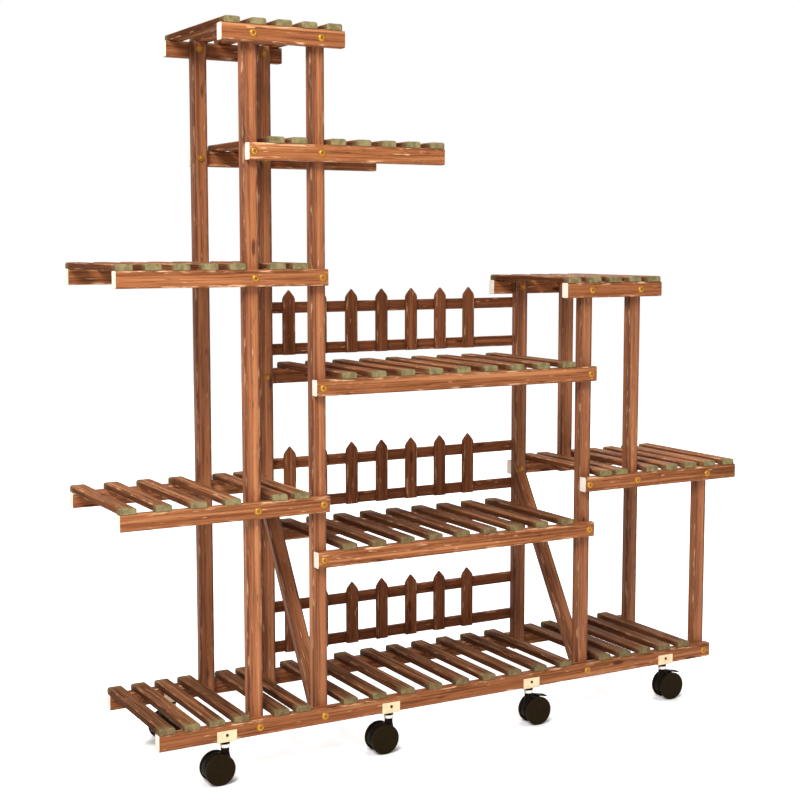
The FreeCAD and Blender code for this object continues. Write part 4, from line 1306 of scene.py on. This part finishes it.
def lever_part(sizes):
    """A brake lever about its pin, which runs along Y at the origin, with its tab above."""
    width, foot = sizes.lever_width / 2, sizes.lever_lift
    top = foot + sizes.lever_thickness
    lever = block(Vector((-sizes.lever_inner, -width, foot)), Vector((sizes.lever_outer, width, top)))
    corners = [edge for edge in lever.edges if runs_along(edge, Z)]
    round_edges(lever, corners, sizes.lever_corner, CORNER_STEPS)
    rims = [edge for edge in lever.edges if lies_in(edge, Z, (foot, top))]
    round_edges(lever, rims, sizes.lever_edge, EDGE_STEPS)
    half = sizes.ridge_width / 2
    for i in range(RIDGE_COUNT):
        start = sizes.ridge_start + i * sizes.ridge_pitch
        append(lever, soft_block((start, -half, top - RIDGE_SINK),
                                 (start + sizes.ridge_length, half, top + sizes.ridge_height),
                                 sizes.ridge_edge))
    half = sizes.stalk_length / 2
    append(lever, soft_block((-half, -sizes.stalk_width / 2, -half),
                             (half, sizes.stalk_width / 2, foot + STALK_LAP), sizes.lever_edge))
    append(lever, rod_along_y(sizes.pin_radius, sizes.pin_length / 2))
    return shade_round(lever)


class STAND_OT_brakes(bpy.types.Operator):
    """Make the brake levers of the two casters that have them"""
    bl_idname = "plant_stand.brakes"
    bl_label = "Brake levers"

    def execute(self, context):
        sizes = context.scene.caster_sizes
        plastic = worn_plastic("Lever plastic", context.scene.stand_colours.housing, LEVER_DUST)
        joints = {joint["name"]: joint for joint in frame["joints"]}
        for name in BRAKED:
            pivot = Vector(joints[name + "_brake_press"]["pos_m"])
            away = pivot - middle_of(name + "_caster_wheels")
            lever = turn(lever_part(sizes), math.atan2(away.x, away.z), "Y")
            finish_piece(move(lever, pivot), name + "_lever_plastic", plastic, name + "_brake",
                         [name + "_brake_lever"])
        return {"FINISHED"}


def seen_directly(tree):
    """One where the camera, a reflection or glass looks straight at the surface."""
    path = tree.add("ShaderNodeLightPath").outputs
    seen = tree.math("MAXIMUM", path["Is Camera Ray"], path["Is Glossy Ray"])
    return tree.math("MAXIMUM", seen, path["Is Transmission Ray"])


def area_lamp(name, place, target, size, power):
    lamp = bpy.data.lights.new(name, "AREA")
    lamp.shape = "DISK"
    lamp.size = size
    lamp.energy = power
    item = new_object(name, lamp)
    item.location = place
    item.rotation_euler = (target - Vector(place)).to_track_quat("-Z", "Y").to_euler()


FLOOR_SPECKLE, FLOOR_LIMITS, FLOOR_TONES = (900, 900, 900), (0.3, 0.7), (0.98, 1)
FLOOR_ROUGHNESS = 0.9
# A painted shadow beside the wheels: the share of open sky where the floor is darkest and where it is
# plain, its light there, and the samples that find the share.
PAINTED_SHADOW_LIMITS, PAINTED_SHADOW_TONES, PAINTED_SHADOW_SAMPLES = (0.6, 1), (0.1, 1), 16


def floor_material(colour_value, lift, painted_shadow_reach):
    """A pale floor that takes shadows, lifted to white where it is seen, but less beside the wheels, where
    a shadow is painted.
    """
    material, tree, shader = new_material("Pale floor")
    place = tree.add("ShaderNodeTexCoord").outputs["Object"]
    speckle = tree.spots(place, FLOOR_SPECKLE, FLOOR_LIMITS, FLOOR_TONES)
    tree.feed(shader.inputs["Base Color"], tree.shade(opaque(colour_value), speckle))
    shader.inputs["Roughness"].default_value = FLOOR_ROUGHNESS
    shader.inputs["Specular IOR Level"].default_value = 0
    shader.inputs["Emission Color"].default_value = (1, 1, 1, 1)
    # Painted shadow: the floor's lift is lowered near the wheels, where little open sky is found.
    open_share = tree.add("ShaderNodeAmbientOcclusion", {"samples": PAINTED_SHADOW_SAMPLES},
                          Distance=painted_shadow_reach).outputs["AO"]
    painted_shadow = tree.ramp(open_share, PAINTED_SHADOW_LIMITS, PAINTED_SHADOW_TONES)
    strength = tree.math("MULTIPLY", tree.math("MULTIPLY", seen_directly(tree), lift), painted_shadow)
    tree.feed(shader.inputs["Emission Strength"], strength)
    return material


class STAND_OT_stage(bpy.types.Operator):
    """Make the floor, the lamps, the surrounding light and the camera"""
    bl_idname = "plant_stand.stage"
    bl_label = "Stage"

    def execute(self, context):
        scene = context.scene
        settings = scene.stand_stage
        scene.view_settings.view_transform = "Standard"
        bm = bmesh.new()
        bmesh.ops.create_grid(bm, x_segments=1, y_segments=1, size=settings.floor_reach)
        floor = new_object("floor", mesh_of(bm, "floor"))
        floor.data.materials.append(floor_material(scene.stand_colours.floor, settings.floor_lift,
                                                   settings.painted_shadow_reach))
        world = bpy.data.worlds.new("Even light")
        world.use_nodes = True
        scene.world = world
        sky = Tree(world.node_tree)
        background = world.node_tree.nodes["Background"]
        background.inputs["Color"].default_value = (1, 1, 1, 1)
        strength = sky.math("MULTIPLY_ADD", seen_directly(sky), 1 - settings.surround, settings.surround)
        sky.feed(background.inputs["Strength"], strength)
        aim = Vector((0, 0, settings.aim_height))
        area_lamp("key_lamp", settings.key_place, aim, settings.key_size, settings.key_power)
        area_lamp("back_lamp", settings.back_place, aim, settings.back_size, settings.back_power)
        camera = new_object("camera", bpy.data.cameras.new("camera"))
        camera.data.lens = settings.camera_lens
        camera.location = settings.camera_place
        camera.rotation_euler = (QUARTER_TURN - settings.camera_tilt, 0, settings.camera_turn)
        scene.camera = camera
        return {"FINISHED"}


OPERATORS = (
    STAND_OT_posts, STAND_OT_rails, STAND_OT_slats, STAND_OT_fences, STAND_OT_braces, STAND_OT_bolts,
    STAND_OT_brackets, STAND_OT_stems, STAND_OT_housings, STAND_OT_wheels, STAND_OT_brakes, STAND_OT_stage,
)
GROUPS = {
    "timber_sizes": TimberSizes,
    "fixing_sizes": FixingSizes,
    "caster_sizes": CasterSizes,
    "stand_colours": StandColours,
    "stand_stage": StageSettings,
}


class STAND_PT_panel(bpy.types.Panel):
    """Lists the groups of pieces and their sizes and colours"""
    bl_idname = "STAND_PT_panel"
    bl_label = "Ladder plant stand"
    bl_space_type = "VIEW_3D"
    bl_region_type = "UI"
    bl_category = "Plant Stand"

    def draw(self, context):
        for operator in OPERATORS:
            self.layout.operator(operator.bl_idname)
        for place, group in GROUPS.items():
            box = self.layout.box()
            for name in group.__annotations__:
                box.prop(getattr(context.scene, place), name)


CLASSES = (*GROUPS.values(), *OPERATORS, STAND_PT_panel)
STARTUP_OBJECTS = ("Cube", "Light", "Camera")


def register():
    for cls in CLASSES:
        bpy.utils.register_class(cls)
    for place, group in GROUPS.items():
        setattr(bpy.types.Scene, place, PointerProperty(type=group))


def unregister():
    for place in GROUPS:
        delattr(bpy.types.Scene, place)
    for cls in reversed(CLASSES):
        bpy.utils.unregister_class(cls)


def main():
    """Register the classes, clear a new file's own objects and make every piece."""
    register()
    for item in list(bpy.context.scene.objects):
        if item.name in STARTUP_OBJECTS:
            bpy.data.objects.remove(item)
    for operator in OPERATORS:
        group, name = operator.bl_idname.split(".")
        getattr(getattr(bpy.ops, group), name)()


if __name__ == "__main__":
    main()
